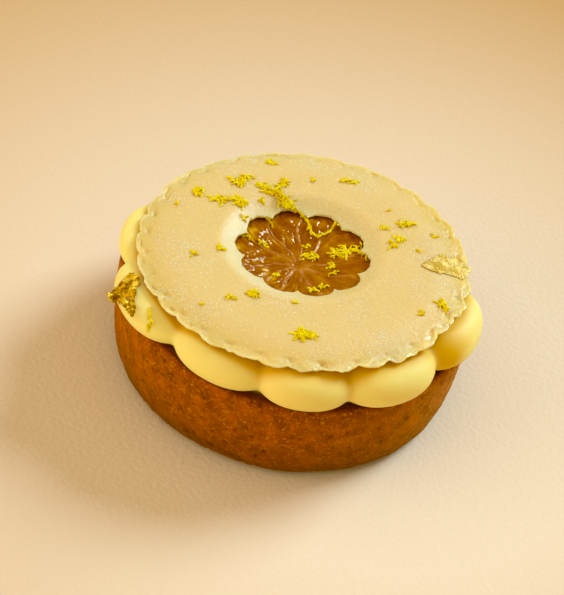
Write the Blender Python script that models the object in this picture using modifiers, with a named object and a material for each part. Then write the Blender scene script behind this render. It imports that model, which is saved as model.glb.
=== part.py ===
"""Lemon hazelnut tart: a round shortcrust case, a ring of piped cream, a lemon confit centre, a fluted
disc with a flower-shaped window, shreds of lime zest and two pieces of gold leaf.

The tart stands on the table at z = 0, centred on the Z axis, and its front is at -Y.
"""

import math
import random

import bmesh
import bpy
from mathutils import Vector, noise

MM = 0.001

# Pastry case
CASE_RADIUS = 37.5 * MM
CASE_HEIGHT = 21.0 * MM
CASE_FOOT_RADIUS = 36.3 * MM
RIM_WIDTH = 3.2 * MM
RIM_DEPTH = 3.0 * MM
FOOT_ROUNDING = 3.2 * MM
CASE_DENT = 0.22 * MM
CASE_STEPS = 72

# Fluted disc: its edge lies in a plane that leans a little on the cream
DISC_RADIUS = 34.6 * MM
DISC_EDGE_LEVEL = 28.4 * MM
DISC_SLOPE_X = 0.049
DISC_SLOPE_Y = -0.044
DISC_THICKNESS = 1.8 * MM
DISC_EDGE_THICKNESS = 0.8 * MM
FLUTES = 32
FLUTE_TURN = math.radians(-1.7)
FLUTE_DEPTH = 0.8 * MM
FLUTE_RELIEF = 0.45 * MM
EDGE_DROOP = 1.1 * MM
DROOP_START = 26.0 * MM
DISC_STEPS = 128

# Flower-shaped window in the disc, with a dished ring round it
WINDOW_CENTRE = Vector((-0.4 * MM, 2.1 * MM))
WINDOW_RADIUS = 13.8 * MM
WINDOW_NOTCH_RADIUS = 12.0 * MM
WINDOW_LOBES = 10
WINDOW_TURN = math.radians(3.0)
DISH_RADIUS = 17.2 * MM
DISH_DEPTH = 1.5 * MM

# Piped cream: one bulb for each entry of BULBS, on a shallow bed inside the rim
# Each bulb is (angle of its middle, half of its width, both in degrees, how far out it bulges in mm)
BULBS = (
    (-14, 18.5, 40.3),
    (-49, 17.5, 39.6),
    (-80, 15.5, 39.0),
    (-111, 17.5, 38.6),
    (-146, 18.5, 40.6),
    (-179, 17.5, 38.4),
    (145, 18.5, 37.2),
    (107, 19.5, 36.6),
    (67, 19.5, 36.8),
    (26, 20.5, 36.8),
)
LEFT_BULB = BULBS[4]
BULB_INNER_RADIUS = 23.4 * MM
BULB_MIDDLE_LEVEL = 24.1 * MM
BULB_OVERLAP = 1.13
BULB_ROUNDING_ABOVE = 0.45
BULB_ROUNDING_BELOW = 0.3
BULB_SEGMENTS = 18
BULB_RINGS = 9
BED_WELL_RADIUS = 21.6 * MM
BED_WELL_LEVEL = 20.6 * MM
BED_LEVEL = 23.0 * MM
BED_OVERHANG = 1.1 * MM

# Lemon confit under the window: its segments meet at LEMON_STAR, a little off the axis
LEMON_STAR = Vector((-0.7 * MM, 2.0 * MM))
LEMON_RADIUS = 20.6 * MM
LEMON_LEVEL = 24.0 * MM
LEMON_STEPS = 60
MEMBRANE_ANGLES = (21, 69, 98, 129, 156, 196, 224, 249, 298, 347)
MEMBRANE_HEIGHT = 0.45 * MM
PULP_RISE = 0.3 * MM

# Gold leaf: the long triangle on the disc runs from its tip to past the disc's edge
GOLD_THICKNESS = 0.3 * MM
TOP_LEAF_TIP = Vector((23.6 * MM, 5.3 * MM))
TOP_LEAF_END = Vector((34.9 * MM, 5.6 * MM))
TOP_LEAF_HALF_WIDTH = 4.0 * MM

# The leaf on the left bulb spreads from its middle to a left, right, top and foot end, in mm
SIDE_LEAF_MIDDLE = Vector((-33.6, -20.2, 26.4))
SIDE_LEAF_LEFT = Vector((-36.7, -21.2, 25.6))
SIDE_LEAF_RIGHT = Vector((-31.4, -19.4, 27.0))
SIDE_LEAF_TOP = Vector((-33.2, -15.8, 27.0))
SIDE_LEAF_FOOT = Vector((-30.9, -26.0, 25.8))

# What rests on a neighbour keeps this gap to it
REST_GAP = 0.3 * MM

# Zest shreds on the disc: (x, y, length, heading in degrees, turn along the shred in degrees), in mm
DISC_SHREDS = (
    (-25.1, 12.6, 4.2, 20, 120),
    (-16.6, 18.6, 5.0, 60, 210),
    (-20.6, 11.5, 6.0, 5, -60),
    (-16.0, 12.6, 5.4, 80, -200),
    (-11.2, 18.7, 6.5, -30, 50),
    (-7.4, 20.6, 4.5, 75, -90),
    (-7.0, 16.6, 6.0, -45, 30),
    (-11.4, 28.4, 3.4, 30, 150),
    (2.6, -25.8, 4.6, 20, 260),
    (4.2, -27.0, 3.6, 110, -160),
    (-8.2, -16.3, 4.4, -25, 90),
    (-12.5, -18.6, 2.8, 65, 20),
    (20.0, 15.0, 5.2, 8, -25),
    (18.3, 9.4, 5.0, 50, 190),
    (14.9, 12.5, 2.6, 35, 40),
    (29.0, -7.6, 4.4, -50, 40),
    (-22.1, -7.3, 2.6, 30, 90),
    (-16.8, -4.3, 2.8, 0, 40),
    (4.9, 26.1, 2.6, 50, 30),
    (7.2, 26.3, 3.2, 70, -20),
)
LEMON_SHREDS = (
    (3.0, 4.6, 5.5, 10, 35),
    (8.6, 6.6, 6.5, 15, -50),
    (6.2, 0.8, 4.6, 40, -170),
    (-8.4, 8.6, 5.2, -50, 20),
)
# The shred on the left bulb, as (across, latitude in degrees) on it
BULB_SHRED = ((0.34, 52), (0.36, 40), (0.37, 28), (0.36, 16), (0.22, 12))
ZEST_RADIUS = 0.42 * MM
SHRED_STEP = 1.4 * MM

# Small flecks strewn over the disc between the shreds
SMALL_FLECKS = 8
FLECK_SEED = 7
FLECK_LENGTH = 2.0 * MM
FLECK_SPACING = 5.5 * MM
FLECK_INNER_RADIUS = 16.5 * MM
FLECK_OUTER_RADIUS = 30.0 * MM


def smoothstep(low, high, value):
    """0 below low, 1 above high, and an eased ramp between them."""
    share = min(1.0, max(0.0, (value - low) / (high - low)))
    return share * share * (3 - 2 * share)


def signed_power(value, power):
    """value raised to a power, with its sign kept."""
    return math.copysign(abs(value) ** power, value)


def window_radius(angle):
    """Radius of the flower-shaped window about its own centre."""
    lobe = abs(math.cos(WINDOW_LOBES / 2 * (angle - WINDOW_TURN)))
    return WINDOW_NOTCH_RADIUS + (WINDOW_RADIUS - WINDOW_NOTCH_RADIUS) * lobe**0.7


def flute(angle):
    """1 on the crest of a flute and 0 in the notch between two."""
    return abs(math.cos(FLUTES / 2 * (angle - FLUTE_TURN)))


def edge_radius(angle):
    """Radius of the disc's fluted edge."""
    return DISC_RADIUS - FLUTE_DEPTH * (1 - flute(angle) ** 0.7)


def disc_plane(x, y):
    """Height of the leaning plane that the disc's edge lies in."""
    return DISC_EDGE_LEVEL + DISC_SLOPE_X * x + DISC_SLOPE_Y * y


def disc_top(x, y):
    """Height of the disc's upper face: dished round the window and drooping to its edge."""
    from_middle = math.hypot(x, y)
    from_window = math.hypot(x - WINDOW_CENTRE.x, y - WINDOW_CENTRE.y)
    droop = EDGE_DROOP * smoothstep(DROOP_START, DISC_RADIUS, from_middle)
    dish = DISH_DEPTH * (1 - smoothstep(WINDOW_NOTCH_RADIUS, DISH_RADIUS, from_window))
    near_edge = smoothstep(0.88 * DISC_RADIUS, 0.97 * DISC_RADIUS, from_middle)
    dimple = FLUTE_RELIEF * near_edge * (1 - flute(math.atan2(y, x)))
    return disc_plane(x, y) + EDGE_DROOP - droop - dish - dimple


def disc_underside(x, y):
    """Height of the disc's lower face, which nears the upper one at the edge and at the window."""
    from_window = math.hypot(x - WINDOW_CENTRE.x, y - WINDOW_CENTRE.y)
    near_edge = smoothstep(0.85 * DISC_RADIUS, DISC_RADIUS, math.hypot(x, y))
    near_window = 1 - smoothstep(WINDOW_NOTCH_RADIUS, DISH_RADIUS, from_window)
    thinning = (DISC_THICKNESS - DISC_EDGE_THICKNESS) * max(near_edge, near_window)
    return disc_top(x, y) - DISC_THICKNESS + thinning


def segment_swell(angle):
    """0 on a membrane of the confit and 1 in the middle of a segment."""
    degrees = math.degrees(angle) % 360
    starts = [turn for turn in MEMBRANE_ANGLES if turn <= degrees] or [MEMBRANE_ANGLES[-1] - 360]
    ends = [turn for turn in MEMBRANE_ANGLES if turn > degrees] or [MEMBRANE_ANGLES[0] + 360]
    return math.sin(math.pi * (degrees - starts[-1]) / (ends[0] - starts[-1]))


def lemon_top(x, y):
    """Height of the confit: a membrane stands as a ridge between each two domed segments of pulp."""
    dx = x - LEMON_STAR.x
    dy = y - LEMON_STAR.y
    from_middle = math.hypot(dx, dy)
    wave = segment_swell(math.atan2(dy, dx))
    spread = smoothstep(0.0, 6.0 * MM, from_middle) * (1 - smoothstep(14.5 * MM, 17.0 * MM, from_middle))
    membrane = MEMBRANE_HEIGHT * (1 - smoothstep(0.0, 0.32, wave))
    return LEMON_LEVEL + spread * (membrane + PULP_RISE * wave)


def bulb_point(bulb, bearing, latitude, rise, swell=0.0):
    """A point of a bulb's skin, or swell outside it: bearing 0 faces outward, latitude 90 is its top."""
    angle, half_width, reach = bulb
    middle = (reach * MM + BULB_INNER_RADIUS) / 2
    half_length = (reach * MM - BULB_INNER_RADIUS) / 2 + swell
    level = math.cos(latitude)
    rounding = BULB_ROUNDING_ABOVE if latitude > 0 else BULB_ROUNDING_BELOW
    full = (1 - rounding * (1 - level)) * smoothstep(-0.2, 0.3, level)
    radius = middle + half_length * full * signed_power(math.cos(bearing), 0.9)
    across = full * signed_power(math.sin(bearing), 0.9)
    turn = math.radians(angle + half_width * BULB_OVERLAP * across)
    depth = rise if latitude > 0 else BULB_MIDDLE_LEVEL - CASE_HEIGHT - 0.5 * MM
    height = BULB_MIDDLE_LEVEL + (depth + swell) * math.sin(latitude)
    return Vector((radius * math.cos(turn), radius * math.sin(turn), height))


def bulb_rise(bulb):
    """How far a bulb can rise over its middle before it comes within the gap of the disc above."""
    bearings = [2 * math.pi * i / BULB_SEGMENTS for i in range(BULB_SEGMENTS)]
    latitudes = [math.radians(degrees) for degrees in (20, 35, 50, 65, 90)]
    rises = []
    for latitude in latitudes:
        for bearing in bearings:
            point = bulb_point(bulb, bearing, latitude, 0.0)
            if math.hypot(point.x, point.y) < DISC_RADIUS + 1.0 * MM:
                room = disc_underside(point.x, point.y) - REST_GAP - BULB_MIDDLE_LEVEL
                rises.append(room / math.sin(latitude))
    return min(rises)


def material(name, colour, roughness, metallic=0.0):
    """A Principled BSDF with one colour."""
    made = bpy.data.materials.new(name)
    made.use_nodes = True
    shader = made.node_tree.nodes["Principled BSDF"]
    shader.inputs["Base Color"].default_value = (*colour, 1.0)
    shader.inputs["Roughness"].default_value = roughness
    shader.inputs["Metallic"].default_value = metallic
    made.diffuse_color = (*colour, 1.0)
    return made


def new_object(name, mesh, collection, finish=None):
    """Links a mesh to a collection as an object, smooth but for its sharp edges."""
    made = bpy.data.objects.new(name, mesh)
    collection.objects.link(made)
    mesh.shade_smooth()
    mesh.set_sharp_from_angle(angle=math.radians(40))
    if finish:
        mesh.materials.clear()
        mesh.materials.append(finish)
    return made


def turned_mesh(name, profile, steps):
    """The solid that a profile of (radius, height) points makes when it turns about Z."""
    line = bpy.data.meshes.new(name)
    points = [(radius, 0.0, height) for radius, height in profile]
    line.from_pydata(points, [(i, i + 1) for i in range(len(points) - 1)], [])
    turner = bpy.data.objects.new(name, line)
    bpy.context.scene.collection.objects.link(turner)
    screw = turner.modifiers.new("Turn", "SCREW")
    screw.steps = steps
    screw.render_steps = steps
    screw.use_merge_vertices = True
    screw.merge_threshold = 0.00001
    mesh = bpy.data.meshes.new_from_object(turner.evaluated_get(bpy.context.evaluated_depsgraph_get()))
    bpy.data.objects.remove(turner)
    return mesh


def loft_mesh(name, rings, closed_ring=False, caps=False):
    """Joins rings of as many points each with quads; closed_ring joins the last ring to the first."""
    build = bmesh.new()
    loops = [[build.verts.new(point) for point in ring] for ring in rings]
    count = len(loops[0])
    pairs = list(zip(loops, loops[1:]))
    if closed_ring:
        pairs.append((loops[-1], loops[0]))
    for lower, upper in pairs:
        for i in range(count):
            j = (i + 1) % count
            build.faces.new((lower[i], lower[j], upper[j], upper[i]))
    if caps:
        build.faces.new(loops[0])
        build.faces.new(loops[-1])
    bmesh.ops.recalc_face_normals(build, faces=build.faces)
    bmesh.ops.triangulate(build, faces=build.faces)
    mesh = bpy.data.meshes.new(name)
    build.to_mesh(mesh)
    build.free()
    return mesh


def union(target, pieces):
    """Fuses every object of a collection to the target and removes them."""
    joiner = target.modifiers.new("Fuse", "BOOLEAN")
    joiner.operation = "UNION"
    joiner.operand_type = "COLLECTION"
    joiner.collection = pieces
    joiner.solver = "EXACT"
    fused = bpy.data.meshes.new_from_object(target.evaluated_get(bpy.context.evaluated_depsgraph_get()))
    target.modifiers.clear()
    target.data = fused
    for piece in list(pieces.objects):
        bpy.data.objects.remove(piece)
    bpy.data.collections.remove(pieces)
    fused.shade_smooth()
    fused.set_sharp_from_angle(angle=math.radians(40))


def loose_pieces(name):
    """A collection for the pieces that are about to be fused."""
    made = bpy.data.collections.new(name)
    bpy.context.scene.collection.children.link(made)
    return made


def rod(name, collection, points):
    """A thin four-sided rod through the points, a little thinner at its ends."""
    curve = bpy.data.curves.new(name, "CURVE")
    curve.dimensions = "3D"
    curve.bevel_depth = ZEST_RADIUS
    curve.bevel_resolution = 0
    curve.use_fill_caps = True
    line = curve.splines.new("POLY")
    line.points.add(len(points) - 1)
    for i, point in enumerate(points):
        line.points[i].co = (*point, 1.0)
        line.points[i].radius = 0.75 + 0.25 * math.sin(math.pi * i / (len(points) - 1))
    drawn = bpy.data.objects.new(name, curve)
    bpy.context.scene.collection.objects.link(drawn)
    mesh = bpy.data.meshes.new_from_object(drawn.evaluated_get(bpy.context.evaluated_depsgraph_get()))
    bpy.data.objects.remove(drawn)
    weld = bmesh.new()
    weld.from_mesh(mesh)
    bmesh.ops.remove_doubles(weld, verts=weld.verts, dist=0.00001)
    bmesh.ops.recalc_face_normals(weld, faces=weld.faces)
    weld.to_mesh(mesh)
    weld.free()
    new_object(name, mesh, collection)


def shred(name, collection, x, y, length, heading, turn, surface):
    """A shred of zest: a rod, half sunk in the surface, that turns as it runs."""
    steps = max(3, round(length / SHRED_STEP))
    step = length / steps
    bearing = math.radians(heading - turn / 2)
    flat = [Vector((0.0, 0.0))]
    for _ in range(steps):
        flat.append(flat[-1] + step * Vector((math.cos(bearing), math.sin(bearing))))
        bearing += math.radians(turn) / steps
    middle = sum(flat, Vector((0.0, 0.0))) / len(flat)
    points = []
    for i, point in enumerate(flat):
        place = point - middle + Vector((x, y))
        arch = 0.5 * ZEST_RADIUS * math.sin(math.pi * i / steps)
        points.append(Vector((place.x, place.y, surface(place.x, place.y) + 0.3 * ZEST_RADIUS + arch)))
    rod(name, collection, points)


def fleck_places():
    """Small flecks, clear of the window, the edge, the gold leaf and the larger shreds."""
    draw = random.Random(FLECK_SEED)
    taken = [MM * Vector(spec[:2]) for spec in DISC_SHREDS] + [TOP_LEAF_TIP, TOP_LEAF_END]
    taken.append((TOP_LEAF_TIP + TOP_LEAF_END) / 2)
    places = []
    while len(places) < SMALL_FLECKS:
        reach = draw.uniform(FLECK_INNER_RADIUS, FLECK_OUTER_RADIUS)
        bearing = draw.uniform(0, 2 * math.pi)
        heading = draw.uniform(0, 360)
        turn = draw.uniform(-90, 90)
        spot = reach * Vector((math.cos(bearing), math.sin(bearing)))
        if min((spot - other).length for other in taken) > FLECK_SPACING:
            taken.append(spot)
            places.append((spot.x, spot.y, FLECK_LENGTH, heading, turn))
    return places


def make_case(collection, finish):
    """The shortcrust case: a straight wall with a rounded foot, a rim, and a floor just below it."""
    inner = CASE_RADIUS - RIM_WIDTH
    floor = CASE_HEIGHT - RIM_DEPTH
    foot = FOOT_ROUNDING
    profile = [(0.0, floor), (inner - 0.4 * MM, floor), (inner, floor + 0.4 * MM)]
    profile += [(inner + 0.1 * MM, CASE_HEIGHT - 0.6 * MM), (inner + 0.6 * MM, CASE_HEIGHT - 0.1 * MM)]
    profile += [(CASE_RADIUS - 1.4 * MM, CASE_HEIGHT), (CASE_RADIUS - 0.4 * MM, CASE_HEIGHT - 0.3 * MM)]
    wall_top = CASE_HEIGHT - 1.1 * MM
    for share in (0.0, 0.25, 0.5, 0.75, 1.0):
        height = wall_top + (foot - wall_top) * share
        radius = CASE_RADIUS + (CASE_FOOT_RADIUS - CASE_RADIUS) * share**1.5
        profile.append((radius, height))
    for turn in (30, 60, 90):
        angle = math.radians(turn)
        profile.append((CASE_FOOT_RADIUS - foot * (1 - math.cos(angle)), foot * (1 - math.sin(angle))))
    profile.append((0.0, 0.0))
    mesh = turned_mesh("tart_case", profile, CASE_STEPS)
    for vertex in mesh.vertices:
        place = vertex.co
        radius = math.hypot(place.x, place.y)
        if radius > inner - 1.0 * MM and place.z > 0.2 * MM:
            dent = CASE_DENT * noise.noise(place * 190) + 0.5 * CASE_DENT * noise.noise(place * 520)
            place.x += dent * place.x / radius
            place.y += dent * place.y / radius
            if place.z > CASE_HEIGHT - 0.7 * MM:
                place.z += 0.8 * dent
    new_object("tart_case", mesh, collection, finish)


def make_bulb(name, collection, bulb):
    """One bulb of cream: a full, rounded cushion that narrows towards the middle of the tart."""
    rise = bulb_rise(bulb)
    build = bmesh.new()
    bmesh.ops.create_uvsphere(build, u_segments=BULB_SEGMENTS, v_segments=BULB_RINGS, radius=1.0)
    for vertex in build.verts:
        bearing = math.atan2(vertex.co.y, vertex.co.x)
        latitude = math.asin(max(-1.0, min(1.0, vertex.co.z)))
        vertex.co = bulb_point(bulb, bearing, latitude, rise)
    bmesh.ops.triangulate(build, faces=build.faces)
    mesh = bpy.data.meshes.new(name)
    build.to_mesh(mesh)
    build.free()
    new_object(name, mesh, collection)


def make_cream(collection, finish):
    """The ring of bulbs, fused to a shallow bed that fills the case up to the confit."""
    neck = CASE_RADIUS - RIM_WIDTH - 0.4 * MM
    lip = CASE_RADIUS - RIM_WIDTH + BED_OVERHANG
    floor = CASE_HEIGHT - RIM_DEPTH + REST_GAP
    profile = [(0.0, BED_WELL_LEVEL), (BED_WELL_RADIUS - 0.8 * MM, BED_WELL_LEVEL)]
    profile += [(BED_WELL_RADIUS, BED_WELL_LEVEL + 0.8 * MM), (BED_WELL_RADIUS + 0.6 * MM, BED_LEVEL)]
    profile += [(lip - 0.7 * MM, BED_LEVEL), (lip, BED_LEVEL - 0.6 * MM), (lip - 0.1 * MM, BED_LEVEL - 1.3 * MM)]
    profile += [(neck + 0.4 * MM, CASE_HEIGHT + 0.5 * MM), (neck, CASE_HEIGHT - 0.2 * MM)]
    profile += [(neck, floor + 1.0 * MM), (neck - 0.6 * MM, floor), (0.0, floor)]
    cream = new_object("piped_cream", turned_mesh("piped_cream", profile, 48), collection, finish)
    bulbs = loose_pieces("bulbs")
    for i, bulb in enumerate(BULBS):
        make_bulb(f"bulb_{i}", bulbs, bulb)
    rise = bulb_rise(LEFT_BULB)
    points = [
        bulb_point(LEFT_BULB, math.asin(across), math.radians(latitude), rise, 0.3 * ZEST_RADIUS)
        for across, latitude in BULB_SHRED
    ]
    rod("bulb_shred", bulbs, points)
    union(cream, bulbs)


def make_lemon(collection, finish):
    """The lemon confit: a low puck with segments and membranes in relief, and zest on it."""
    shares = (0.1, 0.28, 0.5, 0.7, 0.85, 0.97)
    turns = [2 * math.pi * i / LEMON_STEPS for i in range(LEMON_STEPS)]
    edge = [LEMON_RADIUS * Vector((math.cos(turn), math.sin(turn))) for turn in turns]
    rings = []
    for share in shares:
        spots = [LEMON_STAR.lerp(rim, share) for rim in edge]
        rings.append([(spot.x, spot.y, lemon_top(spot.x, spot.y)) for spot in spots])
    bottom = BED_WELL_LEVEL + REST_GAP
    for share, height in ((1.0, LEMON_LEVEL - 0.7 * MM), (1.0, bottom + 0.8 * MM), (0.97, bottom)):
        rings.append([(share * rim.x, share * rim.y, height) for rim in edge])
    lemon = new_object("lemon_confit", loft_mesh("lemon_confit", rings, caps=True), collection, finish)
    shreds = loose_pieces("lemon shreds")
    for i, (x, y, length, heading, turn) in enumerate(LEMON_SHREDS):
        shred(f"lemon_shred_{i}", shreds, x * MM, y * MM, length * MM, heading, turn, lemon_top)
    union(lemon, shreds)


def make_disc(collection, finish):
    """The fluted disc: a loft from the flower-shaped window out to the edge and back underneath."""
    top_shares = (0.015, 0.08, 0.18, 0.5, 0.76, 0.89, 0.975)
    under_shares = (0.96, 0.6, 0.015)
    window = []
    edge = []
    for i in range(DISC_STEPS):
        angle = 2 * math.pi * i / DISC_STEPS
        reach = window_radius(angle)
        window.append(WINDOW_CENTRE + reach * Vector((math.cos(angle), math.sin(angle))))
        edge.append(edge_radius(angle) * Vector((math.cos(angle), math.sin(angle))))

    def ring(share, height):
        spots = [inner.lerp(outer, share) for inner, outer in zip(window, edge)]
        return [(spot.x, spot.y, height(spot.x, spot.y)) for spot in spots]

    def halfway(x, y):
        return (disc_top(x, y) + disc_underside(x, y)) / 2

    rings = [ring(share, disc_top) for share in top_shares]
    rings.append(ring(1.0, halfway))
    rings += [ring(share, disc_underside) for share in under_shares]
    rings.append(ring(0.0, halfway))
    mesh = loft_mesh("fluted_disc", rings, closed_ring=True)
    disc = new_object("fluted_disc", mesh, collection, finish)
    shreds = loose_pieces("disc shreds")
    for i, (x, y, length, heading, turn) in enumerate(DISC_SHREDS):
        shred(f"disc_shred_{i}", shreds, x * MM, y * MM, length * MM, heading, turn, disc_top)
    for i, (x, y, length, heading, turn) in enumerate(fleck_places()):
        shred(f"fleck_{i}", shreds, x, y, length, heading, turn, disc_top)
    union(disc, shreds)


def leaf(name, across, along, place, collection, finish):
    """A thin wavy sheet over a grid of across by along squares; place(u, v) gives its lower face."""
    build = bmesh.new()
    bmesh.ops.create_grid(build, x_segments=across, y_segments=along, size=1.0)
    for vertex in build.verts:
        vertex.co = place(vertex.co.x, vertex.co.y)
    bmesh.ops.triangulate(build, faces=build.faces)
    mesh = bpy.data.meshes.new(name)
    build.to_mesh(mesh)
    build.free()
    sheet = new_object(name, mesh, collection, finish)
    solidify = sheet.modifiers.new("Thickness", "SOLIDIFY")
    solidify.thickness = GOLD_THICKNESS
    solidify.offset = 1.0


def make_top_leaf(collection, finish):
    """The flat piece of gold leaf: a long triangle that lies on the disc and passes over its edge."""

    def place(u, v):
        along = (u + 1) / 2
        half = TOP_LEAF_HALF_WIDTH * (0.08 + 0.92 * math.sin(min(1.0, 1.45 * along) * math.pi / 2))
        half *= 1 - 0.7 * smoothstep(0.72, 1.0, along)
        spot = TOP_LEAF_TIP.lerp(TOP_LEAF_END, along) + v * half * Vector((-0.1, 1.0))
        inside = spot * min(1.0, (DISC_RADIUS - 0.9 * MM) / spot.length)
        wave = 0.12 * MM * math.sin(u * 7) * math.cos(v * 5)
        return spot.x, spot.y, disc_top(inside.x, inside.y) + 1.5 * REST_GAP + wave

    leaf("gold_leaf_top", 9, 5, place, collection, finish)


def make_side_leaf(collection, finish):
    """The crumpled piece of gold leaf on the shoulder of the left bulb of cream."""
    middle = SIDE_LEAF_MIDDLE
    across = SIDE_LEAF_RIGHT - SIDE_LEAF_LEFT
    outward = across.cross(SIDE_LEAF_TOP - SIDE_LEAF_FOOT).normalized()

    def place(u, v):
        side = (SIDE_LEAF_RIGHT if u > 0 else SIDE_LEAF_LEFT) - middle
        end = (SIDE_LEAF_TOP if v > 0 else SIDE_LEAF_FOOT) - middle
        crumple = 0.3 * math.sin(4.1 * u + 1.3) * math.cos(3.3 * v)
        spread = abs(u) * (1 - 0.5 * v * v) * side + abs(v) * (1 - 0.3 * u * u) * end
        return (middle + spread + crumple * outward) * MM

    leaf("gold_leaf_side", 6, 8, place, collection, finish)


def main():
    for old in list(bpy.data.objects):
        bpy.data.objects.remove(old)
    tart = bpy.data.collections.new("lemon_hazelnut_tart")
    bpy.context.scene.collection.children.link(tart)
    crust = material("baked shortcrust", (0.26, 0.07, 0.006), 0.62)
    cream = material("lemon cream", (0.87, 0.58, 0.12), 0.42)
    cover = material("white chocolate cover", (0.84, 0.62, 0.22), 0.45)
    confit = material("lemon confit", (0.30, 0.10, 0.004), 0.12)
    gold = material("gold leaf", (0.83, 0.55, 0.07), 0.28, 1.0)
    make_case(tart, crust)
    make_cream(tart, cream)
    make_lemon(tart, confit)
    make_disc(tart, cover)
    make_top_leaf(tart, gold)
    make_side_leaf(tart, gold)


main()
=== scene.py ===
# %% [markdown]
# # A lemon hazelnut tart
# A small shortcrust case holds a ring of piped cream. A thin fluted disc lies on the cream, and its
# flower-shaped window shows the lemon confit below. Shreds of zest and two scraps of gold leaf finish it.
# The solids of the tart come from the frame. Each one is replaced here by a finer piece in its place.

# %% Load the frame
import math
import random

import bmesh
import bpy
import numpy as np
from mathutils import Matrix, Vector, noise
from mathutils.bvhtree import BVHTree


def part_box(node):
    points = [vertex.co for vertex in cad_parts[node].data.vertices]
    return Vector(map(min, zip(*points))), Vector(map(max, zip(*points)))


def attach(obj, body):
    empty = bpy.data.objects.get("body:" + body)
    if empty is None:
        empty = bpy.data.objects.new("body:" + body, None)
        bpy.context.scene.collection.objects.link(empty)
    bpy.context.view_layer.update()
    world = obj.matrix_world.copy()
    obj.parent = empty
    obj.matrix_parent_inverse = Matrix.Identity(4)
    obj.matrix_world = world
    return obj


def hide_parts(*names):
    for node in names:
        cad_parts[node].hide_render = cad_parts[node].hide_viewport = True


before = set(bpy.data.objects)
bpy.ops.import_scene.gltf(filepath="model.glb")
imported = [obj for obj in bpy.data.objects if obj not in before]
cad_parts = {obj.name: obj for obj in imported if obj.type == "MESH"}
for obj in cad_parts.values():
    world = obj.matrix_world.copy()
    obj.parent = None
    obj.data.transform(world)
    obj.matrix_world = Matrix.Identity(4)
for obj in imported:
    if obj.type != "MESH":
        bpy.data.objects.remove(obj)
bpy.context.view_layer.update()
print("nodes:", ", ".join(sorted(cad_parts)))

# %% [markdown]
# ## Sizes
# Food is easiest to model in millimetres, so every shape below is worked out in millimetres and only
# turned to metres when it becomes a mesh. The main sizes are read from the frame's own boxes.

# %% Sizes in millimetres
MM = 0.001

case_low, case_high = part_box("tart_case")
disc_low, disc_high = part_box("fluted_disc")
CASE_RADIUS = (case_high.x - case_low.x) / 2 / MM
CASE_HEIGHT = 21.0
DISC_RADIUS = (disc_high.x - disc_low.x) / 2 / MM
print(f"case {2 * CASE_RADIUS:.1f} mm across, disc {2 * DISC_RADIUS:.1f} mm across")


# %% Small helpers
def linear(hex_colour):
    """An sRGB hex colour as linear red, green, blue and alpha."""
    digits = hex_colour.lstrip("#")
    channels = [int(digits[i : i + 2], 16) / 255 for i in (0, 2, 4)]
    return tuple(c / 12.92 if c <= 0.04045 else ((c + 0.055) / 1.055) ** 2.4 for c in channels) + (1.0,)


def fill(node, inputs):
    """Fills a node's inputs with values, or links them to other nodes or to one of their outputs."""
    for key, value in inputs.items():
        if isinstance(value, bpy.types.Node):
            value = next(output for output in value.outputs if output.enabled)
        if isinstance(value, bpy.types.NodeSocket):
            node.id_data.links.new(value, node.inputs[key])
        else:
            node.inputs[key].default_value = value


def add_node(tree, kind, inputs=None, **settings):
    """Adds a node to a tree, sets it up and fills its inputs."""
    node = tree.nodes.new(kind)
    for name, value in settings.items():
        setattr(node, name, value)
    fill(node, inputs or {})
    return node


def new_finish(name, looks):
    """A material with these looks set on its Principled shader, its node tree and that shader."""
    made = bpy.data.materials.new(name)
    made.use_nodes = True
    shader = made.node_tree.nodes["Principled BSDF"]
    fill(shader, looks)
    print("finish:", name)
    return made, made.node_tree, shader


def ease(low, high, value):
    """0 below low, 1 above high and a smooth ramp between; value may be an array."""
    share = np.clip((value - low) / (high - low), 0.0, 1.0)
    return share * share * (3 - 2 * share)


def rough(points, size, shift=0.0):
    """Noise from -1 to 1 at each point, with lumps about size mm across."""
    return np.array([noise.noise(Vector(p) / size + Vector((shift, 0.0, 0.0))) for p in points])


# %% [markdown]
# ## Camera
# The photograph was taken from 43 degrees above the table with a long lens, and the tart leans to the
# right in it. Here the tart stands flat, so the camera carries that lean as a roll about its own axis.

# %% Camera
CAMERA_TARGET = Vector((-2.55, 0.0, 15.38)) * MM
CAMERA_DISTANCE = 450 * MM
CAMERA_ELEVATION = math.radians(43.2)
CAMERA_ROLL = math.radians(13.06)
FOCAL_PIXELS = 2136.6
FRAME_HEIGHT_PIXELS = 595
SENSOR = 36.0

camera_data = bpy.data.cameras.new("camera")
camera_data.sensor_width = SENSOR
camera_data.lens = FOCAL_PIXELS / FRAME_HEIGHT_PIXELS * SENSOR
camera = bpy.data.objects.new("camera", camera_data)
bpy.context.scene.collection.objects.link(camera)
backward = Vector((0.0, -math.cos(CAMERA_ELEVATION), math.sin(CAMERA_ELEVATION)))
level = Vector((1.0, 0.0, 0.0))
upright = backward.cross(level)
rightward = level * math.cos(CAMERA_ROLL) + upright * math.sin(CAMERA_ROLL)
upward = upright * math.cos(CAMERA_ROLL) - level * math.sin(CAMERA_ROLL)
turned = Matrix((rightward, upward, backward)).transposed().to_4x4()
camera.matrix_world = Matrix.Translation(CAMERA_TARGET + CAMERA_DISTANCE * backward) @ turned
bpy.context.scene.camera = camera
print(f"lens {camera_data.lens:.1f} mm")

# %% [markdown]
# ## Light and floor
# One soft, rather cool key light comes from the right and behind, low enough for a long shadow to the
# left. Everything else is warm fill: a sky that is brighter at the front left, and one large lamp there.
# The floor is plain paper with painted light falloff: it darkens a little away from the tart, as the light
# on a table under one window does.

# %% Light
KEY_AZIMUTH = math.radians(44)
KEY_ELEVATION = math.radians(37)
KEY_SOFTNESS = math.radians(25)
BRIGHT_SKY = (-0.68, -0.41, 0.61)
FILL_PLACE = Vector((-1.00, -0.48, 0.26))
FILL_SIZE = 0.9

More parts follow.
